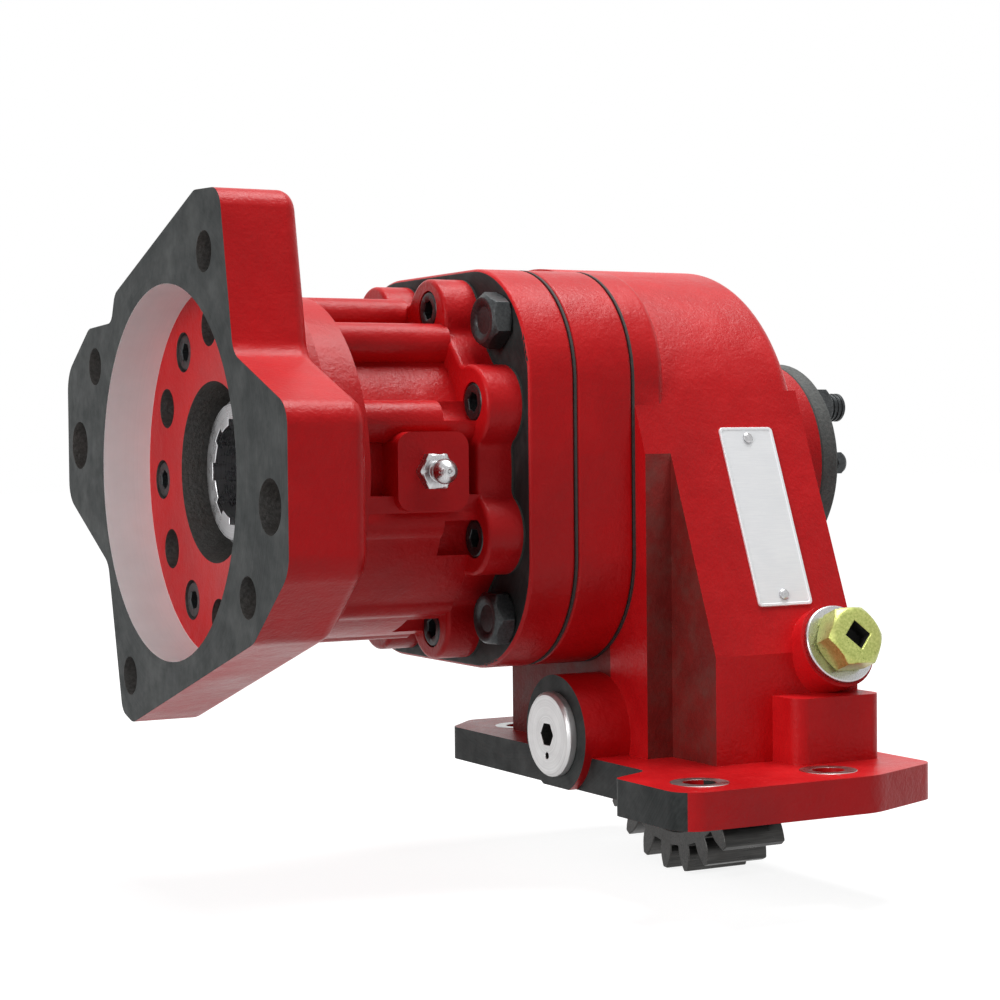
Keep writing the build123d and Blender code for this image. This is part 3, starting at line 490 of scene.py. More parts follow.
# Painted highlight: the pilot bore's near-white colour, tinted a little cyan against the red light bounced
# from the web, stands in for the bright reflection of its turned wall.
BORE_WALL_PAINTED_HIGHLIGHT = Metal("bored_wall_painted_highlight", "steel", light=(0.93, 0.985, 0.99), dark=(0.85, 0.93, 0.935),
                   stain=(0.45, 0.46, 0.45), stain_share=0.12, smoothest=0.45, roughest=0.65, metallic=0.0,
                   gloss=0.2, grain=Grain.TURNED)
SEALING_FACE = Metal("sealing_face", "steel", light=(0.52, 0.52, 0.51), dark=(0.36, 0.36, 0.36),
                     stain=(0.24, 0.21, 0.18), grain=Grain.MILLED, mark=1.2 * MM)
RAW_IRON = Metal("raw_iron", "steel", light=(0.13, 0.125, 0.12), dark=(0.06, 0.058, 0.055),
                 stain=(0.10, 0.06, 0.04), smoothest=0.5, roughest=0.75, metallic=0.6, grain=Grain.CAST,
                 mark_depth=0.3 * MM)
STEEL = Metal("ground_steel", "steel", grain=Grain.TURNED)
GEAR_STEEL = Metal("oiled_gear_steel", "gear_steel", light=(0.075, 0.073, 0.070), dark=(0.032, 0.032, 0.032),
                   stain=(0.022, 0.020, 0.017), stain_share=0.5, smoothest=0.24, roughest=0.44, metallic=0.8,
                   grain=Grain.MILLED, mark=0.6 * MM)
BLACK_OXIDE = Metal("black_oxide", "black_steel", light=(0.045, 0.05, 0.052), dark=(0.016, 0.018, 0.02),
                    stain=(0.09, 0.085, 0.08), smoothest=0.28, roughest=0.46, metallic=0.55)
ZINC_YELLOW = Metal("yellow_zinc_coat", "zinc_yellow", light=(0.58, 0.62, 0.20), dark=(0.36, 0.42, 0.10),
                    stain=(0.40, 0.30, 0.12), stain_share=0.3, smoothest=0.26, roughest=0.42, metallic=0.6)
BRIGHT_PLATE = Metal("brushed_plate", "bright_plate", light=(0.90, 0.91, 0.92), dark=(0.84, 0.85, 0.87),
                     stain=(0.70, 0.73, 0.76), smoothest=0.35, roughest=0.5, metallic=0.25,
                     grain=Grain.MILLED, mark=0.3 * MM, mark_depth=0.01 * MM)
PLUG_STEEL = Metal("turned_plug_steel", "plug_steel", light=(0.72, 0.72, 0.72), dark=(0.55, 0.55, 0.55),
                   stain=(0.3, 0.3, 0.29), smoothest=0.28, roughest=0.45, metallic=0.7,
                   grain=Grain.TURNED, mark=0.4 * MM, axis=INPUT_AXIS)
COVER_ALLOY = Metal("dark_cover_casting", "cover_alloy", light=(0.14, 0.145, 0.14), dark=(0.065, 0.07, 0.068),
                    stain=(0.05, 0.045, 0.045), smoothest=0.5, roughest=0.75, metallic=0.1, gloss=0.2,
                    grain=Grain.CAST, mark_depth=0.2 * MM)
# Painted shade: near-black laid on the walls and floors of sockets, which lie in shade.
SOCKET_PAINTED_SHADE = Metal("socket_painted_shade", "black_steel", light=(0.03, 0.03, 0.028), dark=(0.010, 0.010, 0.010),
                    stain=(0.05, 0.045, 0.04), smoothest=0.45, roughest=0.7, metallic=0.0, gloss=0.2)
GASKET = Soft("gasket_paper", "gasket")
BRONZE = Metal("bearing_bronze", "bronze", light=(0.62, 0.40, 0.17), dark=(0.45, 0.27, 0.10),
               stain=(0.2, 0.12, 0.06), grain=Grain.TURNED)
FRICTION = Soft("friction_lining", "friction", light=(0.25, 0.19, 0.13), dark=(0.12, 0.09, 0.06))

DRESSED: set[str] = set()


def move_with(piece: bpy.types.Object, node: str) -> bpy.types.Object:
    """Makes a piece stand for a node of the frame, on the node's own body.

    Args:
        piece: The new piece.
        node: The node that it stands for.

    Returns:
        The piece.
    """
    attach(piece, frame["nodes"][node]["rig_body"])
    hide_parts(node)
    DRESSED.add(node)
    LOG.info("%s stands for %s: %d faces", piece.name, node, len(piece.data.polygons))
    return piece


def soften(piece: bpy.types.Object, width: float, edge_slot: int = -1) -> None:
    """Rounds a piece's sharp edges a little and evens out its shading.

    Args:
        piece: The piece.
        width: How far the rounding reaches from an edge.
        edge_slot: The material slot of the rounded edges, or -1 to take their neighbours'.
    """
    piece.data.set_sharp_from_angle(angle=math.radians(SHARP_ANGLE))
    bevel = piece.modifiers.new("edge_round", "BEVEL")
    bevel.width = width
    bevel.segments = 2
    bevel.limit_method = "ANGLE"
    bevel.angle_limit = math.radians(SHARP_ANGLE)
    bevel.use_clamp_overlap = True
    bevel.material = edge_slot
    bevel.miter_outer = "MITER_ARC"
    weighted = piece.modifiers.new("even_shading", "WEIGHTED_NORMAL")
    weighted.keep_sharp = True


def new_piece(name: str, shell: bmesh.types.BMesh, finishes: tuple[Finish, ...]) -> bpy.types.Object:
    """Turns a bmesh into a piece with its finishes.

    Args:
        name: The piece's name.
        shell: The mesh in the frame's coordinates, freed afterwards.
        finishes: One finish for each material slot.

    Returns:
        The piece, smooth shaded.
    """
    mesh = bpy.data.meshes.new(name)
    shell.to_mesh(mesh)
    shell.free()
    for finish in finishes:
        mesh.materials.append(finish.material())
    mesh.shade_smooth()
    piece = bpy.data.objects.new(name, mesh)
    bpy.context.scene.collection.objects.link(piece)
    return piece


def joined(node: str) -> bmesh.types.BMesh:
    """A copy of a node's mesh with its doubled points joined.

    Args:
        node: The node's name.

    Returns:
        The copy.
    """
    shell = bmesh.new()
    shell.from_mesh(frame["nodes"][node].data)
    bmesh.ops.remove_doubles(shell, verts=shell.verts, dist=WELD_DISTANCE)
    return shell


def welded(node: str) -> bmesh.types.BMesh:
    """A copy of a node's mesh, its doubled points joined and its flat faces cleaned.

    Args:
        node: The node's name.

    Returns:
        The copy, all in the first finish.
    """
    shell = joined(node)
    bmesh.ops.dissolve_limit(shell, angle_limit=math.radians(FLAT_ANGLE), use_dissolve_boundaries=False,
                             verts=shell.verts, edges=shell.edges, delimit={"NORMAL"})
    for face in shell.faces:
        face.material_index = 0
    return shell


def solid_boxes(node: str) -> list[tuple[Vector, Vector]]:
    """The box of each separate solid of a node.

    Args:
        node: The node's name.

    Returns:
        The lowest and highest corner of each solid, in a fixed order.
    """
    shell = joined(node)
    waiting = set(shell.verts)
    boxes = []
    while waiting:
        stack = [waiting.pop()]
        points = []
        while stack:
            vert = stack.pop()
            points.append(vert.co.copy())
            for edge in vert.link_edges:
                other = edge.other_vert(vert)
                if other in waiting:
                    waiting.remove(other)
                    stack.append(other)
        low = Vector(min(point[i] for point in points) for i in range(3))
        high = Vector(max(point[i] for point in points) for i in range(3))
        boxes.append((low, high))
    shell.free()
    return sorted(boxes, key=lambda box: tuple(round(value, 5) for value in box[0]))


def off_axis(point: Vector, axis: tuple[float, float]) -> float:
    """The distance of a point from an axis along X."""
    return math.hypot(point.y - axis[0], point.z - axis[1])


@dataclass
class Dressed:
    """A node of the frame with rounded edges, its faces sorted into finishes."""

    node: str
    finishes: tuple[Finish, ...]
    edge_round: float = 0.4 * MM
    edge_slot: int = -1

    def finish_of(self, centre: Vector, normal: Vector) -> int:
        """Which finish a face takes.

        Args:
            centre: The face's middle.
            normal: The face's direction.

        Returns:
            The finish's place in the list.
        """
        return 0

    def build(self) -> None:
        """The dressed piece, standing for its node."""
        shell = welded(self.node)
        for face in shell.faces:
            face.material_index = self.finish_of(face.calc_center_median(), face.normal)
        piece = new_piece(self.node + "_finished", shell, self.finishes)
        soften(piece, self.edge_round, self.edge_slot)
        move_with(piece, self.node)


@dataclass
class PumpFlange(Dressed):
    """The pump flange: red casting, dark machined front face, a pilot bore painted near white as a painted
    highlight, raw holes.
    """

    node: str = "pump_flange"
    finishes: tuple[Finish, ...] = (RED_ENAMEL, DARK_FACE_AND_SHADE, BORE_WALL_PAINTED_HIGHLIGHT, RAW_IRON)
    edge_round: float = 0.7 * MM
    front_x: float = -165.0 * MM
    web_hole_r: float = 31.0 * MM
    pilot_r: float = 63.5 * MM
    pilot_depth: float = 17.5 * MM
    web_thickness: float = 13.4 * MM
    web_bolt_reach: float = 57.5 * MM
    hole_circles: tuple[tuple[int, float, float, float], ...] = (
        (2, 90.5 * MM, 8.75 * MM, 6.0), (4, 81.0 * MM, 6.75 * MM, 28.0))

    def in_bolt_hole(self, centre: Vector) -> bool:
        """Whether a place lies in one of the flange's bolt holes.

        Args:
            centre: The place.

        Returns:
            Whether it is no farther from a hole's axis than the hole's wall.
        """
        for count, circle_r, hole_r, turn in self.hole_circles:
            for index in range(count):
                angle = math.radians(turn + 360.0 * index / count)
                axis = (OUTPUT_AXIS[0] + circle_r * math.cos(angle),
                        OUTPUT_AXIS[1] + circle_r * math.sin(angle))
                if off_axis(centre, axis) < hole_r + NEAR:
                    return True
        return False

    def finish_of(self, centre: Vector, normal: Vector) -> int:
        """The front face is dark, the pilot bore takes its painted highlight and the drilled holes are raw.

        Args:
            centre: The face's middle.
            normal: The face's direction.

        Returns:
            The finish's place in the list.
        """
        if centre.x < self.front_x + NEAR and normal.x < -SQUARE_TO:
            return 1
        if abs(normal.x) > 0.5:
            return 0
        out = off_axis(centre, OUTPUT_AXIS)
        web_start = self.front_x + self.pilot_depth
        if abs(out - self.web_hole_r) < NEAR:
            return 3
        # The pilot bore's wall gets the painted highlight.
        if abs(out - self.pilot_r) < NEAR and centre.x < web_start:
            return 2
        if self.in_bolt_hole(centre):
            return 3
        in_web = web_start < centre.x < web_start + self.web_thickness
        return 3 if in_web and out < self.web_bolt_reach else 0


@dataclass
class AdapterPlate(Dressed):
    """The adapter plate: red edge and black front face."""

    node: str = "adapter_plate"
    finishes: tuple[Finish, ...] = (RED_ENAMEL, DARK_FACE_AND_SHADE)

    def finish_of(self, centre: Vector, normal: Vector) -> int:
        """The face that the cap is screwed to is dark: its own black finish with painted shade on top."""
        return 1 if normal.x < -SQUARE_TO else 0


@dataclass
class MainHousing(Dressed):
    """The main casting: red outside, raw iron inside, a milled sealing face under the pad."""

    node: str = "main_housing"
    finishes: tuple[Finish, ...] = (RED_ENAMEL, SEALING_FACE, RAW_IRON, DARK_FACE_AND_SHADE, SHADED_BLOCK_ENAMEL, ENAMEL_EDGE_WEAR_AND_HIGHLIGHT)
    edge_round: float = 0.7 * MM
    edge_slot: int = 5
    block_top: float = 116.0 * MM
    step_y: float = -25.4 * MM
    block_front_x: float = -12.0 * MM
    pad_thickness: float = 12.0 * MM
    pad_front_x: float = -30.0 * MM
    pocket_x: tuple[float, float] = (-1.0 * MM, 37.0 * MM)
    pocket_r: float = 54.0 * MM
    room_x: tuple[float, float] = (-22.1 * MM, 38.0 * MM)
    room_r: float = 64.0 * MM
    idler_boss_x: float = -40.0 * MM

    def inside(self, centre: Vector) -> bool:
        """Whether a place lies on the wall of the gear pocket or the clutch room.

        Args:
            centre: The place.

        Returns:
            Whether it is on one of these walls.
        """
        room_out, pocket_out = off_axis(centre, OUTPUT_AXIS), off_axis(centre, INPUT_AXIS)
        sideways = abs(centre.y - INPUT_AXIS[0])
        if self.room_x[0] + NEAR < centre.x < self.room_x[1] + NEAR and room_out < self.room_r + NEAR:
            return True
        if not self.pocket_x[0] - NEAR < centre.x < self.pocket_x[1] + NEAR or centre.z < NEAR:
            return False
        in_mouth = sideways < self.pocket_r + NEAR and centre.z < INPUT_AXIS[1]
        if min(abs(centre.x - station) for station in self.pocket_x) < NEAR:
            return pocket_out < self.pocket_r + NEAR or in_mouth
        return abs(pocket_out - self.pocket_r) < NEAR or (in_mouth and abs(sideways - self.pocket_r) < NEAR)

    def in_painted_shade(self, centre: Vector, normal: Vector) -> bool:
        """Whether a face of the block looks to the pump or into the step, where painted shade is laid.

        Args:
            centre: The face's middle.
            normal: The face's direction.

        Returns:
            Whether it gets painted shade.
        """
        if not self.pad_thickness < centre.z < self.block_top:
            return False
        in_step = centre.x < self.block_front_x and normal.y < -FACING and abs(centre.y - self.step_y) < NEAR
        return in_step or (normal.x < -FACING and centre.x < 0.0)

    def finish_of(self, centre: Vector, normal: Vector) -> int:
        """Outside, sealing face, inside, dark faces (painted shade on the pad's front edges) or painted shade
        on the block's faces toward the pump and in the step.

        Args:
            centre: The face's middle.
            normal: The face's direction.

        Returns:
            The finish's place in the list.
        """
        if centre.z < NEAR and normal.z < -SQUARE_TO:
            return 1
        if self.inside(centre):
            return 2
        # The pad's front edges face away from the lamps: the dark face on them is painted shade.
        if centre.z < self.pad_thickness - NEAR and normal.x < -FACING and centre.x < self.pad_front_x:
            return 3
        if normal.x < -SQUARE_TO and abs(centre.x - self.idler_boss_x) < NEAR:
            return 3
        # The block's faces toward the pump and in the step get painted shade.
        return 4 if self.in_painted_shade(centre, normal) else 0


@dataclass
class IdlerPlug(Dressed):
    """The round plug in front of the driven gear's pin, bright, its socket darkened with painted shade."""

    node: str = "idler_plug"
    finishes: tuple[Finish, ...] = (PLUG_STEEL, SOCKET_PAINTED_SHADE)
    edge_round: float = 0.25 * MM
    recess_x: tuple[float, float] = (-43.3 * MM, -36.5 * MM)
    socket_reach: float = 8.6 * MM

    def finish_of(self, centre: Vector, normal: Vector) -> int:
        """The walls and floors of the hexagon socket and the pin hole get painted shade."""
        inner = off_axis(centre, INPUT_AXIS) < self.socket_reach
        return 1 if inner and self.recess_x[0] < centre.x < self.recess_x[1] else 0


@dataclass(frozen=True)
class Ring:
    """One ring of a headed piece: its place along the axis, its radius and its outline."""

    along: float
    radius: float
    outline: Outline = Outline.ROUND
    ceiling: float = math.inf

    def reach(self, angle: float, ridges: int) -> float:
        """How far the ring reaches from the axis.

        Args:
            angle: The direction in radians.
            ridges: How many ridges a knurled ring has.

        Returns:
            The distance.
        """
        if self.outline in CORNERS:
            half = math.pi / CORNERS[self.outline]
            reach = self.radius * math.cos(half) / math.cos(angle % (2 * half) - half)
        elif self.outline is Outline.KNURL:
            reach = self.radius * (1.0 - KNURL_DEPTH * (1.0 + math.cos(angle * ridges)))
        else:
            reach = self.radius
        return min(reach, self.ceiling)


@dataclass(frozen=True)
class Seat:
    """Where a headed piece stands: a point, the way its axis points and a turn about it."""

    point: Vector
    axis: Vector
    turn: float = 0.0

    def spot(self, ring: Ring, angle: float, ridges: int) -> Vector:
        """One point of a ring.

        Args:
            ring: The ring.
            angle: The direction in radians.
            ridges: How many ridges a knurled ring has.

        Returns:
            The point in the frame.
        """
        axis = self.axis.normalized()
        side = Vector((1, 0, 0)) if abs(axis.x) < 0.5 else Vector((0, 1, 0))
        first = (side - axis * side.dot(axis)).normalized()
        second = axis.cross(first)
        turned = angle + math.radians(self.turn)
        out = (first * math.cos(turned) + second * math.sin(turned)) * ring.reach(angle, ridges)
        return self.point + axis * ring.along + out


def rounds(*profile: tuple[float, float]) -> list[Ring]:
    """Round rings from pairs of height and radius in metres."""
    return [Ring(along, radius) for along, radius in profile]


def chamfer(corner_r: float, start: float, end: float, least: float, steps: int = 5) -> list[Ring]:
    """Rings on which a hexagon's corners grow out of a round.

    Args:
        corner_r: The hexagon's radius over its corners.
        start: Where along the axis the round is.
        end: Where the corners are whole.
        least: The round's radius as a share of the radius over the flats.
        steps: How many rings there are.

    Returns:
        The rings, from the start to the end.
    """
    round_r = corner_r * FLAT_SHARE * least
    shares = [step / (steps - 1) for step in range(steps)]
    return [Ring(start + (end - start) * share, corner_r, Outline.HEXAGON,
                 ceiling=round_r + (corner_r - round_r) * share) for share in shares]


def bridge(shell: bmesh.types.BMesh, loops: list[list[Vector]], recess: int = 0, closed: bool = True) -> None:
    """Joins rings of points, one after the other.

    Args:
        shell: The mesh to add to.
        loops: The rings, each with as many points as the others.
        recess: How many bands from the start take the second finish, with the start's own face.
        closed: Whether both ends get a face; otherwise the last ring joins the first one.
    """
    rows = [[shell.verts.new(point) for point in loop] for loop in loops]
    count = len(rows[0])
    for band, (one, two) in enumerate(zip(rows, rows[1:] if closed else rows[1:] + rows[:1])):
        for index in range(count):
            after = (index + 1) % count
            face = shell.faces.new((one[index], one[after], two[after], two[index]))
            face.material_index = 1 if band < recess else 0
    if closed:
        shell.faces.new(rows[0]).material_index = 1 if recess else 0
        shell.faces.new(tuple(reversed(rows[-1])))


def headed(name: str, finish: Finish, seats: list[Seat], rings: list[Ring], segments: int = 72,
           round_off: float = 0.12 * MM, recess: int = 0, closed: bool = True) -> bpy.types.Object:
    """A piece, or a set of like pieces, made of rings about an axis.

    Args:
        name: The piece's name.
        finish: Its finish.
        seats: Where each copy stands.
        rings: The rings from one end to the other.
        segments: How many points each ring has.
        round_off: How far its sharp edges are rounded.
        recess: How many bands from the start get the recess's painted shade.
        closed: Whether both ends get a face; otherwise the last ring joins the first one.

    Returns:
        The piece.
    """
    shell = bmesh.new()
    angles = [2 * math.pi * index / segments for index in range(segments)]
    for seat in seats:
        loops = [[seat.spot(ring, angle, segments // 4) for angle in angles] for ring in rings]
        bridge(shell, loops, recess, closed)
    bmesh.ops.recalc_face_normals(shell, faces=shell.faces)
    piece = new_piece(name, shell, (finish, SOCKET_PAINTED_SHADE) if recess else (finish,))
    soften(piece, round_off)
    return piece


@dataclass
class SocketScrews:
    """Cap screws with knurled heads and hexagon sockets, their heads towards the pump."""

    node: str
    finish: Finish = BLACK_OXIDE
    head_height: float = 7.5 * MM
    thread_r: float = 3.9 * MM
    thread_chamfer: float = 0.8 * MM
    socket_r: float = 3.4 * MM
    socket_depth: float = 4.0 * MM
    socket_point: float = 0.8 * MM
    socket_chamfer: float = 0.3 * MM
    crown: float = 0.7 * MM
    knurl_end: float = 0.9 * MM
    under_head: float = 0.5 * MM
    turn_step: float = 17.0
    segments: int = 144

    def rings(self, length: float, head_r: float) -> list[Ring]:
        """The rings from the bottom of the socket, over the head and down the shank.

        Args:
            length: The screw's length with its head.
            head_r: The head's radius.

        Returns:
            The rings.
        """
        base = self.head_height
        return [
            *rounds((self.socket_depth + self.socket_point, 0.3 * MM),
                    (self.socket_depth, self.socket_r * 0.8)),
            Ring(self.socket_depth, self.socket_r, Outline.HEXAGON),
            Ring(self.socket_chamfer, self.socket_r, Outline.HEXAGON),
            *rounds((0.0, self.socket_r + self.socket_chamfer), (0.0, head_r - self.crown),
                    (self.crown, head_r)),
            Ring(self.crown + 0.3 * MM, head_r, Outline.KNURL),
            Ring(base - self.knurl_end, head_r, Outline.KNURL),
            *rounds((base - self.under_head, head_r * 0.99), (base, head_r * 0.97), (base, self.thread_r),
                    (length - self.thread_chamfer, self.thread_r),
                    (length, self.thread_r - self.thread_chamfer)),
        ]

    def build(self) -> None:
        """All screws of the set, each where its solid is in the frame."""
        seats = []
        for low, high in solid_boxes(self.node):
            start = Vector((low.x, (low.y + high.y) / 2, (low.z + high.z) / 2))
            seats.append(Seat(start, TO_REAR, turn=self.turn_step * len(seats)))
        rings = self.rings(high.x - low.x, (high.y - low.y) / 2)
        piece = headed(self.node + "_finished", self.finish, seats, rings, segments=self.segments)
        move_with(piece, self.node)


@dataclass
class HexBolts:
    """Hexagon bolts with chamfered heads and a washer face."""

    node: str
    head_height: float
    thread_r: float
    heads_to_pump: bool = True
    finish: Finish = BLACK_OXIDE
    crown: float = 0.6 * MM
    washer_face: float = 0.5 * MM
    chamfer_share: float = 0.16
    turn_step: float = 23.0

    def rings(self, length: float, corner_r: float) -> list[Ring]:
        """The rings from the top of the head down to the end of the shank.

        Args:
            length: The bolt's length with its head.
            corner_r: The head's radius over its corners.

        Returns:
            The rings.
        """
        flat_r = corner_r * FLAT_SHARE
        top = self.crown
        seat = top + self.head_height
        face = seat - self.washer_face
        return [
            *rounds((top + 0.5 * MM, flat_r * 0.55), (top - 0.2 * MM, flat_r * 0.66), (0.0, flat_r * 0.78),
                    (0.0, flat_r * 0.92)),
            *chamfer(corner_r, top, top + self.chamfer_share * corner_r, least=0.97),
            Ring(face - 0.6 * MM, corner_r, Outline.HEXAGON),
            Ring(face, corner_r, Outline.HEXAGON, ceiling=flat_r * 1.04),
            *rounds((face, flat_r * 0.97), (seat, flat_r * 0.97), (seat, self.thread_r),
                    (length - 1.0 * MM, self.thread_r), (length, self.thread_r - 0.9 * MM)),
        ]

    def build(self) -> None:
        """All bolts of the set, each where its solid is in the frame."""
        seats = []
        for low, high in solid_boxes(self.node):
            start, way = (low.x, TO_REAR) if self.heads_to_pump else (high.x, TO_PUMP)
            middle = Vector((start, (low.y + high.y) / 2, (low.z + high.z) / 2))
            seats.append(Seat(middle, way, turn=self.turn_step * len(seats)))
        corner_r = max(high.y - low.y, high.z - low.z) / 2
        piece = headed(self.node + "_finished", self.finish, seats, self.rings(high.x - low.x, corner_r))
        move_with(piece, self.node)


@dataclass
class PressureFitting:
    """The bright nipple on the near side of the cap."""

    node: str = "pressure_fitting"
    finish: Finish = STEEL
    hex_r: float = 6.6 * MM
    hex_height: float = 4.0 * MM
    hex_crown: float = 0.6 * MM
    neck_r: float = 3.4 * MM
    neck_fillet: float = 0.5 * MM
    ball_r: float = 4.2 * MM
    shoulder_height: float = 8.4 * MM
    thread_r: float = 4.4 * MM
    tip: tuple[tuple[float, float], ...] = (
        (0.9 * MM, 0.4 * MM), (0.25 * MM, 0.9 * MM), (0.15 * MM, 1.6 * MM))
    ball_angles: tuple[float, ...] = (40.0, 58.0, 76.0, 94.0, 112.0, 130.0, 148.0)

    def build(self) -> None:
        """The nipple, from the tip of its ball to the end of its thread."""
        low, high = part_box(self.node)
        ball = [(self.ball_r * (1 - math.cos(angle)), self.ball_r * math.sin(angle))
                for angle in map(math.radians, self.ball_angles)]
        shoulder = self.shoulder_height
        base = shoulder + self.hex_height
        rings = [
            *rounds(*self.tip, *ball, (shoulder - 1.0 * MM, self.neck_r - self.neck_fillet),
                    (shoulder, self.neck_r), (shoulder, self.hex_r * 0.82)),
            Ring(shoulder + self.hex_crown, self.hex_r, Outline.HEXAGON, ceiling=self.hex_r),
            Ring(base, self.hex_r, Outline.HEXAGON),
            *rounds((base, self.thread_r), (high.y - low.y, self.thread_r)),
        ]
        seat = Seat(Vector(((low.x + high.x) / 2, low.y, (low.z + high.z) / 2)), Vector((0, 1, 0)))
        move_with(headed(self.node + "_finished", self.finish, [seat], rings), self.node)


@dataclass
class SidePlug:
    """The plated hexagon plug of the leaning wall with its square socket, and its washer."""

    node: str = "side_plug"
    washer_node: str = "side_plug_washer"
    hex_r: float = 11.2 * MM
    hex_height: float = 10.5 * MM
    top_chamfer: tuple[float, float] = (0.3 * MM, 2.2 * MM)
    base_chamfer: tuple[float, float] = (0.3 * MM, 1.5 * MM)
    washer_r: float = 13.5 * MM
    washer_thickness: float = 2.0 * MM
    washer_chamfer: float = 0.4 * MM
    thread_r: float = 7.95 * MM
    thread_length: float = 12.0 * MM
    socket_r: float = 4.95 * MM
    socket_depth: float = 6.0 * MM
    socket_chamfer: float = 0.5 * MM

    def build(self) -> None:
        """The plug and the washer under it."""
        low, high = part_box(self.washer_node)
        middle = (low + high) / 2
        self.build_plug(middle + WALL_OUT * (self.washer_thickness / 2 + self.hex_height))
        self.build_washer(middle - WALL_OUT * (self.washer_thickness / 2))

    def build_plug(self, top: Vector) -> None:
        """The plug, from the bottom of its socket over the head to the end of its thread.

        Args:
            top: The middle of the head's top.
        """
        flat_r = self.hex_r * FLAT_SHARE
        base = self.hex_height
        rings = [
            Ring(self.socket_depth, 0.6 * MM),
            Ring(self.socket_depth - 0.6 * MM, self.socket_r, Outline.SQUARE),
            Ring(self.socket_chamfer, self.socket_r, Outline.SQUARE),
            Ring(0.0, self.socket_r + self.socket_chamfer, Outline.SQUARE),
            Ring(0.0, flat_r * 0.80),
            *chamfer(self.hex_r, *self.top_chamfer, least=0.93, steps=6),
            *reversed(chamfer(self.hex_r, *(base - inset for inset in self.base_chamfer), least=0.99)),
            *rounds((base - self.base_chamfer[0], flat_r * 0.97), (base, flat_r * 0.97),
                    (base, self.thread_r), (base + self.thread_length, self.thread_r)),
        ]
        plug = headed(self.node + "_finished", ZINC_YELLOW, [Seat(top, -WALL_OUT)], rings, recess=2)
        move_with(plug, self.node)

    def build_washer(self, start: Vector) -> None:
        """The washer.

        Args:
            start: The middle of its back.
        """
        inset = self.washer_chamfer
        top = self.washer_thickness
        rings = rounds((0.0, self.thread_r), (0.0, self.washer_r - inset), (inset, self.washer_r),
                       (top - inset, self.washer_r), (top, self.washer_r - inset), (top, self.thread_r))
        washer = headed(self.washer_node + "_finished", STEEL, [Seat(start, WALL_OUT)], rings)
        move_with(washer, self.washer_node)


@dataclass
class Nameplate:
    """The blank plate on the leaning wall, with a pressed rim, and its drive pins."""

    node: str = "nameplate"
    pins_node: str = "nameplate_pins"
    width: float = 22.0 * MM
    height: float = 65.0 * MM
    thickness: float = 0.8 * MM
    corner_r: float = 1.5 * MM
    least_corner_r: float = 0.3 * MM
    corner_steps: int = 6
    edge_chamfer: float = 0.15 * MM
    rim: float = 0.9 * MM
    rim_slope: float = 0.25 * MM
    panel_depth: float = 0.22 * MM
    panel_inset: float = 3.0 * MM
    pin_sunk: float = 0.45 * MM
    pin_profile: tuple[tuple[float, float], ...] = (
        (-0.2 * MM, 1.5 * MM), (0.0, 1.9 * MM), (0.35 * MM, 1.85 * MM), (0.65 * MM, 1.5 * MM),
        (0.82 * MM, 0.95 * MM), (0.9 * MM, 0.3 * MM))

    def loop(self, middle: Vector, inset: float, lift: float) -> list[Vector]:
        """The plate's outline, drawn in and lifted off the wall.

        Args:
            middle: The plate's middle.
            inset: How far the outline is drawn in.
            lift: How far it is lifted.

        Returns:
            The outline's points.
        """
        half_w, half_h = self.width / 2 - inset, self.height / 2 - inset
        radius = max(self.corner_r - inset * 0.6, self.least_corner_r)
        points = []
        for quarter, (side, rise) in enumerate(((1, 1), (-1, 1), (-1, -1), (1, -1))):
            for step in range(self.corner_steps + 1):
                angle = math.radians(90.0 * (quarter + step / self.corner_steps))
                across = side * (half_w - radius) + radius * math.cos(angle)
                along = rise * (half_h - radius) + radius * math.sin(angle)
                points.append(middle + Vector((across, 0, 0)) + WALL_UP * along + WALL_OUT * lift)
        return points

    def build(self) -> None:
        """The plate and both pins."""
        low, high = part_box(self.node)
        middle = (low + high) / 2
        top = self.thickness / 2
        panel = top - self.panel_depth
        outlines = ((0.0, -top), (0.0, top - self.edge_chamfer), (self.edge_chamfer, top), (self.rim, top),
                    (self.rim + self.rim_slope, panel), (self.rim + self.panel_inset, panel))
        shell = bmesh.new()
        bridge(shell, [self.loop(middle, inset, lift) for inset, lift in outlines])
        bmesh.ops.recalc_face_normals(shell, faces=shell.faces)
        plate = new_piece(self.node + "_finished", shell, (BRIGHT_PLATE,))
        soften(plate, 0.05 * MM)
        move_with(plate, self.node)
        seats = [Seat((one + two) / 2 - WALL_OUT * self.pin_sunk, WALL_OUT)
                 for one, two in solid_boxes(self.pins_node)]
        pins = headed(self.pins_node + "_finished", STEEL, seats, rounds(*self.pin_profile), segments=36,
                      round_off=0.02 * MM)
        move_with(pins, self.pins_node)


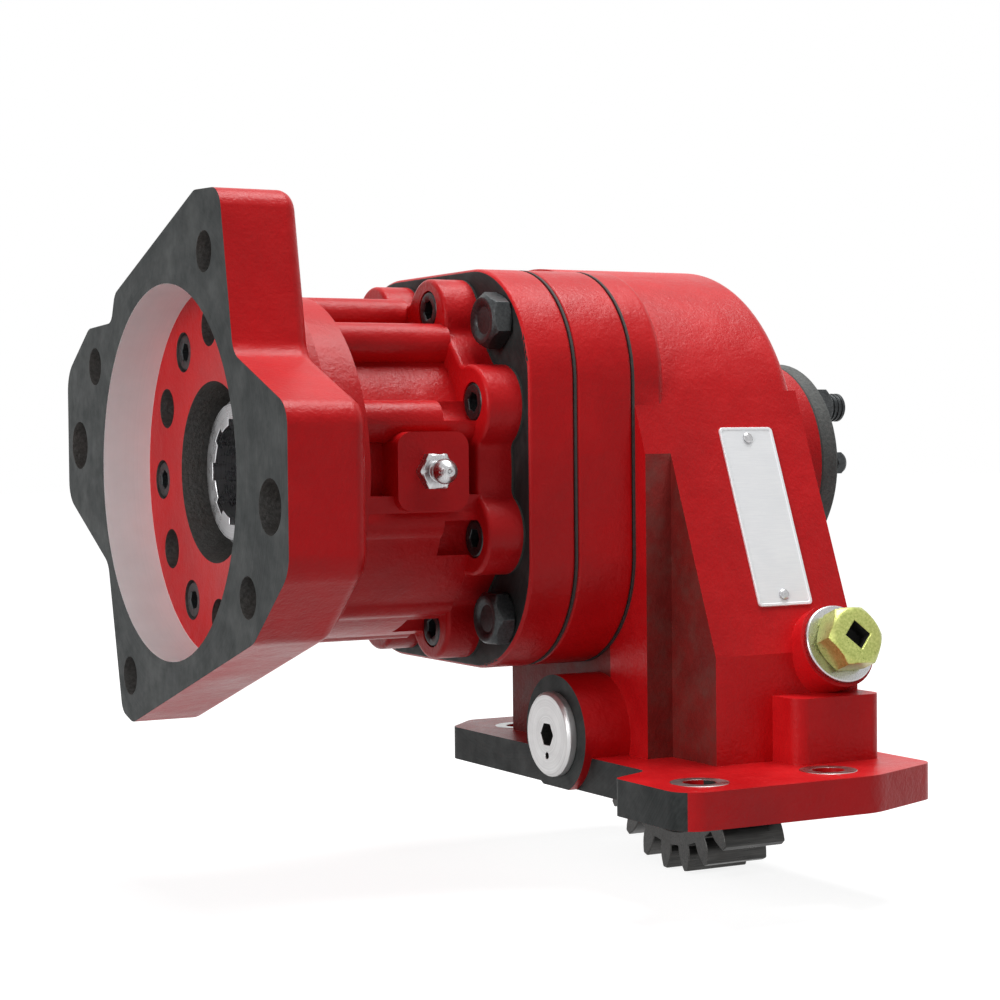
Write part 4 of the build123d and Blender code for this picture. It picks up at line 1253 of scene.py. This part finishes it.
@dataclass
class RearPort:
    """The dark fitting of the rear cover: hexagon, ribbed nose and cap."""

    node: str = "rear_port_fitting"
    hex_r: float = 8.0 * MM
    hex_height: float = 10.0 * MM
    hex_chamfer: tuple[float, float] = (0.2 * MM, 1.5 * MM)
    nose: float = 7.0 * MM
    nose_r: float = 5.4 * MM
    groove_r: float = 4.9 * MM
    grooves: tuple[float, ...] = (1.6 * MM, 3.4 * MM, 5.2 * MM)
    groove_slope: float = 0.3 * MM
    groove_width: float = 1.3 * MM
    cap: tuple[tuple[float, float], ...] = (
        (1.2 * MM, 2.0 * MM), (0.0, 2.6 * MM), (0.0, 4.8 * MM), (0.6 * MM, 5.4 * MM))
    thread_r: float = 4.9 * MM

    def build(self) -> None:
        """The fitting, from the end of its nose inwards."""
        low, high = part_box(self.node)
        ribs = []
        for groove in self.grooves:
            ribs += [(groove, self.nose_r), (groove + self.groove_slope, self.groove_r),
                     (groove + self.groove_width - self.groove_slope, self.groove_r),
                     (groove + self.groove_width, self.nose_r)]
        base = self.nose + self.hex_height
        rings = [
            *rounds(*self.cap, *ribs, (self.nose, self.hex_r * FLAT_SHARE * 0.84)),
            *chamfer(self.hex_r, *(self.nose + inset for inset in self.hex_chamfer), least=0.96),
            Ring(base, self.hex_r, Outline.HEXAGON),
            *rounds((base, self.thread_r), (high.x - low.x, self.thread_r)),
        ]
        seat = Seat(Vector((high.x, (low.y + high.y) / 2, (low.z + high.z) / 2)), TO_PUMP)
        move_with(headed(self.node + "_finished", BLACK_OXIDE, [seat], rings), self.node)


@dataclass
class PadSpots:
    """Bright faces round the pad's holes, where washers have sat."""

    body: str = "housing"
    finish: Finish = SEALING_FACE
    places: tuple[tuple[float, float], ...] = ((-36.0 * MM, -78.0 * MM), (14.0 * MM, -78.0 * MM),
                                               (36.0 * MM, 78.0 * MM), (-14.0 * MM, 78.0 * MM))
    pad_top: float = 12.0 * MM
    hole_r: float = 5.35 * MM
    hole_chamfer: float = 0.2 * MM
    outer_r: float = 9.5 * MM
    proud: float = 0.12 * MM
    sunk: float = 0.3 * MM

    def build(self) -> None:
        """One thin ring round each hole, sunk in the pad's top."""
        seats = [Seat(Vector((x, y, self.pad_top)), Vector((0, 0, 1))) for x, y in self.places]
        rings = rounds((-self.sunk, self.hole_r), (-self.sunk, self.outer_r), (0.0, self.outer_r),
                       (self.proud, self.outer_r - self.proud), (self.proud, self.hole_r + self.hole_chamfer),
                       (0.0, self.hole_r))
        piece = headed("pad_spot_faces", self.finish, seats, rings, segments=64, round_off=0.04 * MM,
                       closed=False)
        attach(piece, self.body)
        LOG.info("%s lie round the pad's holes: %d faces", piece.name, len(piece.data.polygons))


@dataclass
class ReturnSpring:
    """The clutch's return spring, which the piston presses together against its retainer."""

    node: str = "return_spring"
    joint: str = "clutch_piston_slide"
    finish: Finish = STEEL
    travel: float = 2.2 * MM

    def build(self) -> None:
        """The coil as it stands in the frame, on its own copy of the mesh."""
        piece = new_piece(self.node + "_finished", welded(self.node), (self.finish,))
        move_with(piece, self.node)
        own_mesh(piece)


@dataclass
class RunningGear:
    """Shafts, gears, bearings and clutch parts: nodes of the frame that only need a finish."""

    finishes: dict[str, Finish] = field(default_factory=lambda: {
        "ring": BLACK_OXIDE, "gasket": GASKET, "seal": GASKET, "bush": BRONZE, "thrust": BRONZE,
        "friction": FRICTION, "drum": GEAR_STEEL,
    })
    steel_words: tuple[str, ...] = ("bearing", "retainer", "end_plate", "piston")

    def finish_for(self, node: str) -> Finish:
        """The finish whose word stands in a node's name.

        Args:
            node: The node's name.

        Returns:
            The finish, ground steel where no word fits.
        """
        if any(word in node for word in self.steel_words):
            return STEEL
        return next((finish for word, finish in self.finishes.items() if word in node), STEEL)

    def build(self) -> None:
        """Gives each node that no piece stands for its finish."""
        for name, node in sorted(frame["nodes"].items()):
            if name in DRESSED:
                continue
            finish = self.finish_for(name)
            node.data.materials.clear()
            node.data.materials.append(finish.material())
            LOG.info("%s is a node of the frame in %s", name, finish.name)


@dataclass
class Studio:
    """The floor, the lamps, the surroundings and the camera."""

    floor_z: float = -34.0 * MM
    floor_half: float = 6.0
    floor_grey: float = 0.40
    floor_roughness: float = 0.9
    shadow_reach: float = 0.45
    glow_reach: float = 1.125
    near_glow: float = 0.86
    centre: tuple[float, float, float] = (-0.035, 0.03, 0.09)
    camera_place: tuple[float, float, float] = (-0.43399, -0.68020, 0.12139)
    yaw: float = 61.47
    pitch: float = 1.57
    roll: float = -0.58
    lens: float = 82.444
    sensor: float = 36.0
    farthest: float = 50.0
    surround: float = 0.10
    lamps: tuple[tuple[str, tuple[float, float, float], float, float], ...] = (
        ("key", (0.20, -0.02, 1.30), 0.8, 18.0), ("side", (-1.30, -0.42, 0.50), 0.6, 9.0))

    def camera(self) -> None:
        """The camera at the photograph's place."""
        yaw, pitch, roll = (math.radians(value) for value in (self.yaw, self.pitch, self.roll))
        ahead = Vector((math.cos(yaw) * math.cos(pitch), math.sin(yaw) * math.cos(pitch), -math.sin(pitch)))
        level = Vector((math.sin(yaw), -math.cos(yaw), 0))
        rise = level.cross(ahead)
        right = level * math.cos(roll) + rise * math.sin(roll)
        up = rise * math.cos(roll) - level * math.sin(roll)
        data = bpy.data.cameras.new("view")
        data.sensor_width = self.sensor
        data.lens = self.lens
        data.clip_end = self.farthest
        view = bpy.data.objects.new("view", data)
        turn = Matrix((right, up, -ahead)).transposed().to_4x4()
        view.matrix_world = Matrix.Translation(self.camera_place) @ turn
        bpy.context.scene.collection.objects.link(view)
        bpy.context.scene.camera = view

    def lamp(self, name: str, place: tuple[float, float, float], size: float, power: float) -> None:
        """A square soft lamp that looks at the unit.

        Args:
            name: The lamp's name.
            place: Where it hangs.
            size: The length of its side.
            power: Its power in watts.
        """
        data = bpy.data.lights.new(name, "AREA")
        data.size = size
        data.energy = power
        lamp = bpy.data.objects.new(name, data)
        lamp.location = place
        lamp.rotation_euler = (Vector(self.centre) - Vector(place)).to_track_quat("-Z", "Y").to_euler()
        bpy.context.scene.collection.objects.link(lamp)

    def seen_directly(self, tree: bpy.types.NodeTree) -> bpy.types.NodeSocket:
        """Tells what the camera sees straight, in gloss or through glass from soft light.

        Args:
            tree: The node tree to add to.

        Returns:
            A socket that is 1 for what is seen and 0 for soft light.
        """
        path = tree.nodes.new("ShaderNodeLightPath")
        total = path.outputs["Is Camera Ray"]
        for name in ("Is Glossy Ray", "Is Transmission Ray"):
            larger = tree.nodes.new("ShaderNodeMath")
            larger.operation = "MAXIMUM"
            tree.links.new(total, larger.inputs[0])
            tree.links.new(path.outputs[name], larger.inputs[1])
            total = larger.outputs[0]
        return total

    def surroundings(self) -> None:
        """White where it is seen, and a moderate grey as soft light."""
        world = bpy.data.worlds.new("surroundings")
        world.use_nodes = True
        tree = world.node_tree
        soft = tree.nodes["Background"]
        soft.inputs["Color"].default_value = WHITE
        soft.inputs["Strength"].default_value = self.surround
        white = tree.nodes.new("ShaderNodeBackground")
        white.inputs["Color"].default_value = WHITE
        mix = tree.nodes.new("ShaderNodeMixShader")
        tree.links.new(self.seen_directly(tree), mix.inputs[0])
        tree.links.new(soft.outputs[0], mix.inputs[1])
        tree.links.new(white.outputs[0], mix.inputs[2])
        tree.links.new(mix.outputs[0], tree.nodes["World Output"].inputs["Surface"])
        bpy.context.scene.world = world

    def floor_material(self) -> bpy.types.Material:
        """Pale grey that glows to white where it is seen, fully so away from the unit.

        Returns:
            The material.
        """
        material = bpy.data.materials.new("pale_floor")
        material.use_nodes = True
        tree = material.node_tree
        shader = tree.nodes["Principled BSDF"]
        shader.inputs["Base Color"].default_value = (self.floor_grey, self.floor_grey, self.floor_grey, 1)
        shader.inputs["Roughness"].default_value = self.floor_roughness
        shader.inputs["Specular IOR Level"].default_value = 0.0
        shader.inputs["Emission Color"].default_value = WHITE
        place = tree.nodes.new("ShaderNodeTexCoord")
        distance = tree.nodes.new("ShaderNodeVectorMath")
        distance.operation = "LENGTH"
        tree.links.new(place.outputs["Object"], distance.inputs[0])
        glow = tree.nodes.new("ShaderNodeMapRange")
        for index, value in enumerate((self.shadow_reach, self.glow_reach, self.near_glow, 1.0), 1):
            glow.inputs[index].default_value = value
        tree.links.new(distance.outputs["Value"], glow.inputs[0])
        share = tree.nodes.new("ShaderNodeMath")
        share.operation = "MULTIPLY"
        tree.links.new(glow.outputs[0], share.inputs[1])
        tree.links.new(self.seen_directly(tree), share.inputs[0])
        tree.links.new(share.outputs[0], shader.inputs["Emission Strength"])
        return material

    def floor(self) -> None:
        """A pale floor just under the driven gear."""
        shell = bmesh.new()
        half = self.floor_half
        shell.faces.new([shell.verts.new((x, y, self.floor_z)) for x, y in
                         ((-half, -half), (half, -half), (half, half), (-half, half))])
        mesh = bpy.data.meshes.new("floor")
        shell.to_mesh(mesh)
        shell.free()
        mesh.materials.append(self.floor_material())
        floor = bpy.data.objects.new("floor", mesh)
        bpy.context.scene.collection.objects.link(floor)

    def build(self) -> None:
        """The whole studio."""
        bpy.context.scene.view_settings.view_transform = "Standard"
        self.camera()
        self.surroundings()
        self.floor()
        for lamp in self.lamps:
            self.lamp(*lamp)


def main() -> None:
    """Builds the studio and the unit's pieces in order."""
    logging.basicConfig(level=logging.INFO, format="%(message)s")
    assemblies = [
        Studio(),
        PumpFlange(),
        Dressed("front_cap", (RED_ENAMEL, ENAMEL_EDGE_WEAR_AND_HIGHLIGHT), 0.6 * MM, 1),
        AdapterPlate(),
        Dressed("clutch_housing", (RED_ENAMEL, ENAMEL_EDGE_WEAR_AND_HIGHLIGHT), 0.4 * MM, 1),
        MainHousing(),
        Dressed("rear_cover", (COVER_ALLOY,), 0.3 * MM),
        Dressed("input_gear", (GEAR_STEEL,)),
        Dressed("clutch_gear", (GEAR_STEEL,)),
        Dressed("output_shaft", (STEEL,), 0.25 * MM),
        IdlerPlug(),
        SocketScrews("pump_flange_screws"),
        SocketScrews("cap_screws"),
        HexBolts("housing_bolts", 7.0 * MM, 4.9 * MM),
        HexBolts("rear_cover_screws", 4.0 * MM, 2.4 * MM, heads_to_pump=False),
        PressureFitting(),
        SidePlug(),
        Nameplate(),
        RearPort(),
        PadSpots(),
        ReturnSpring(),
        RunningGear(),
    ]
    for assembly in assemblies:
        assembly.build()


if __name__ == "__main__":
    main()
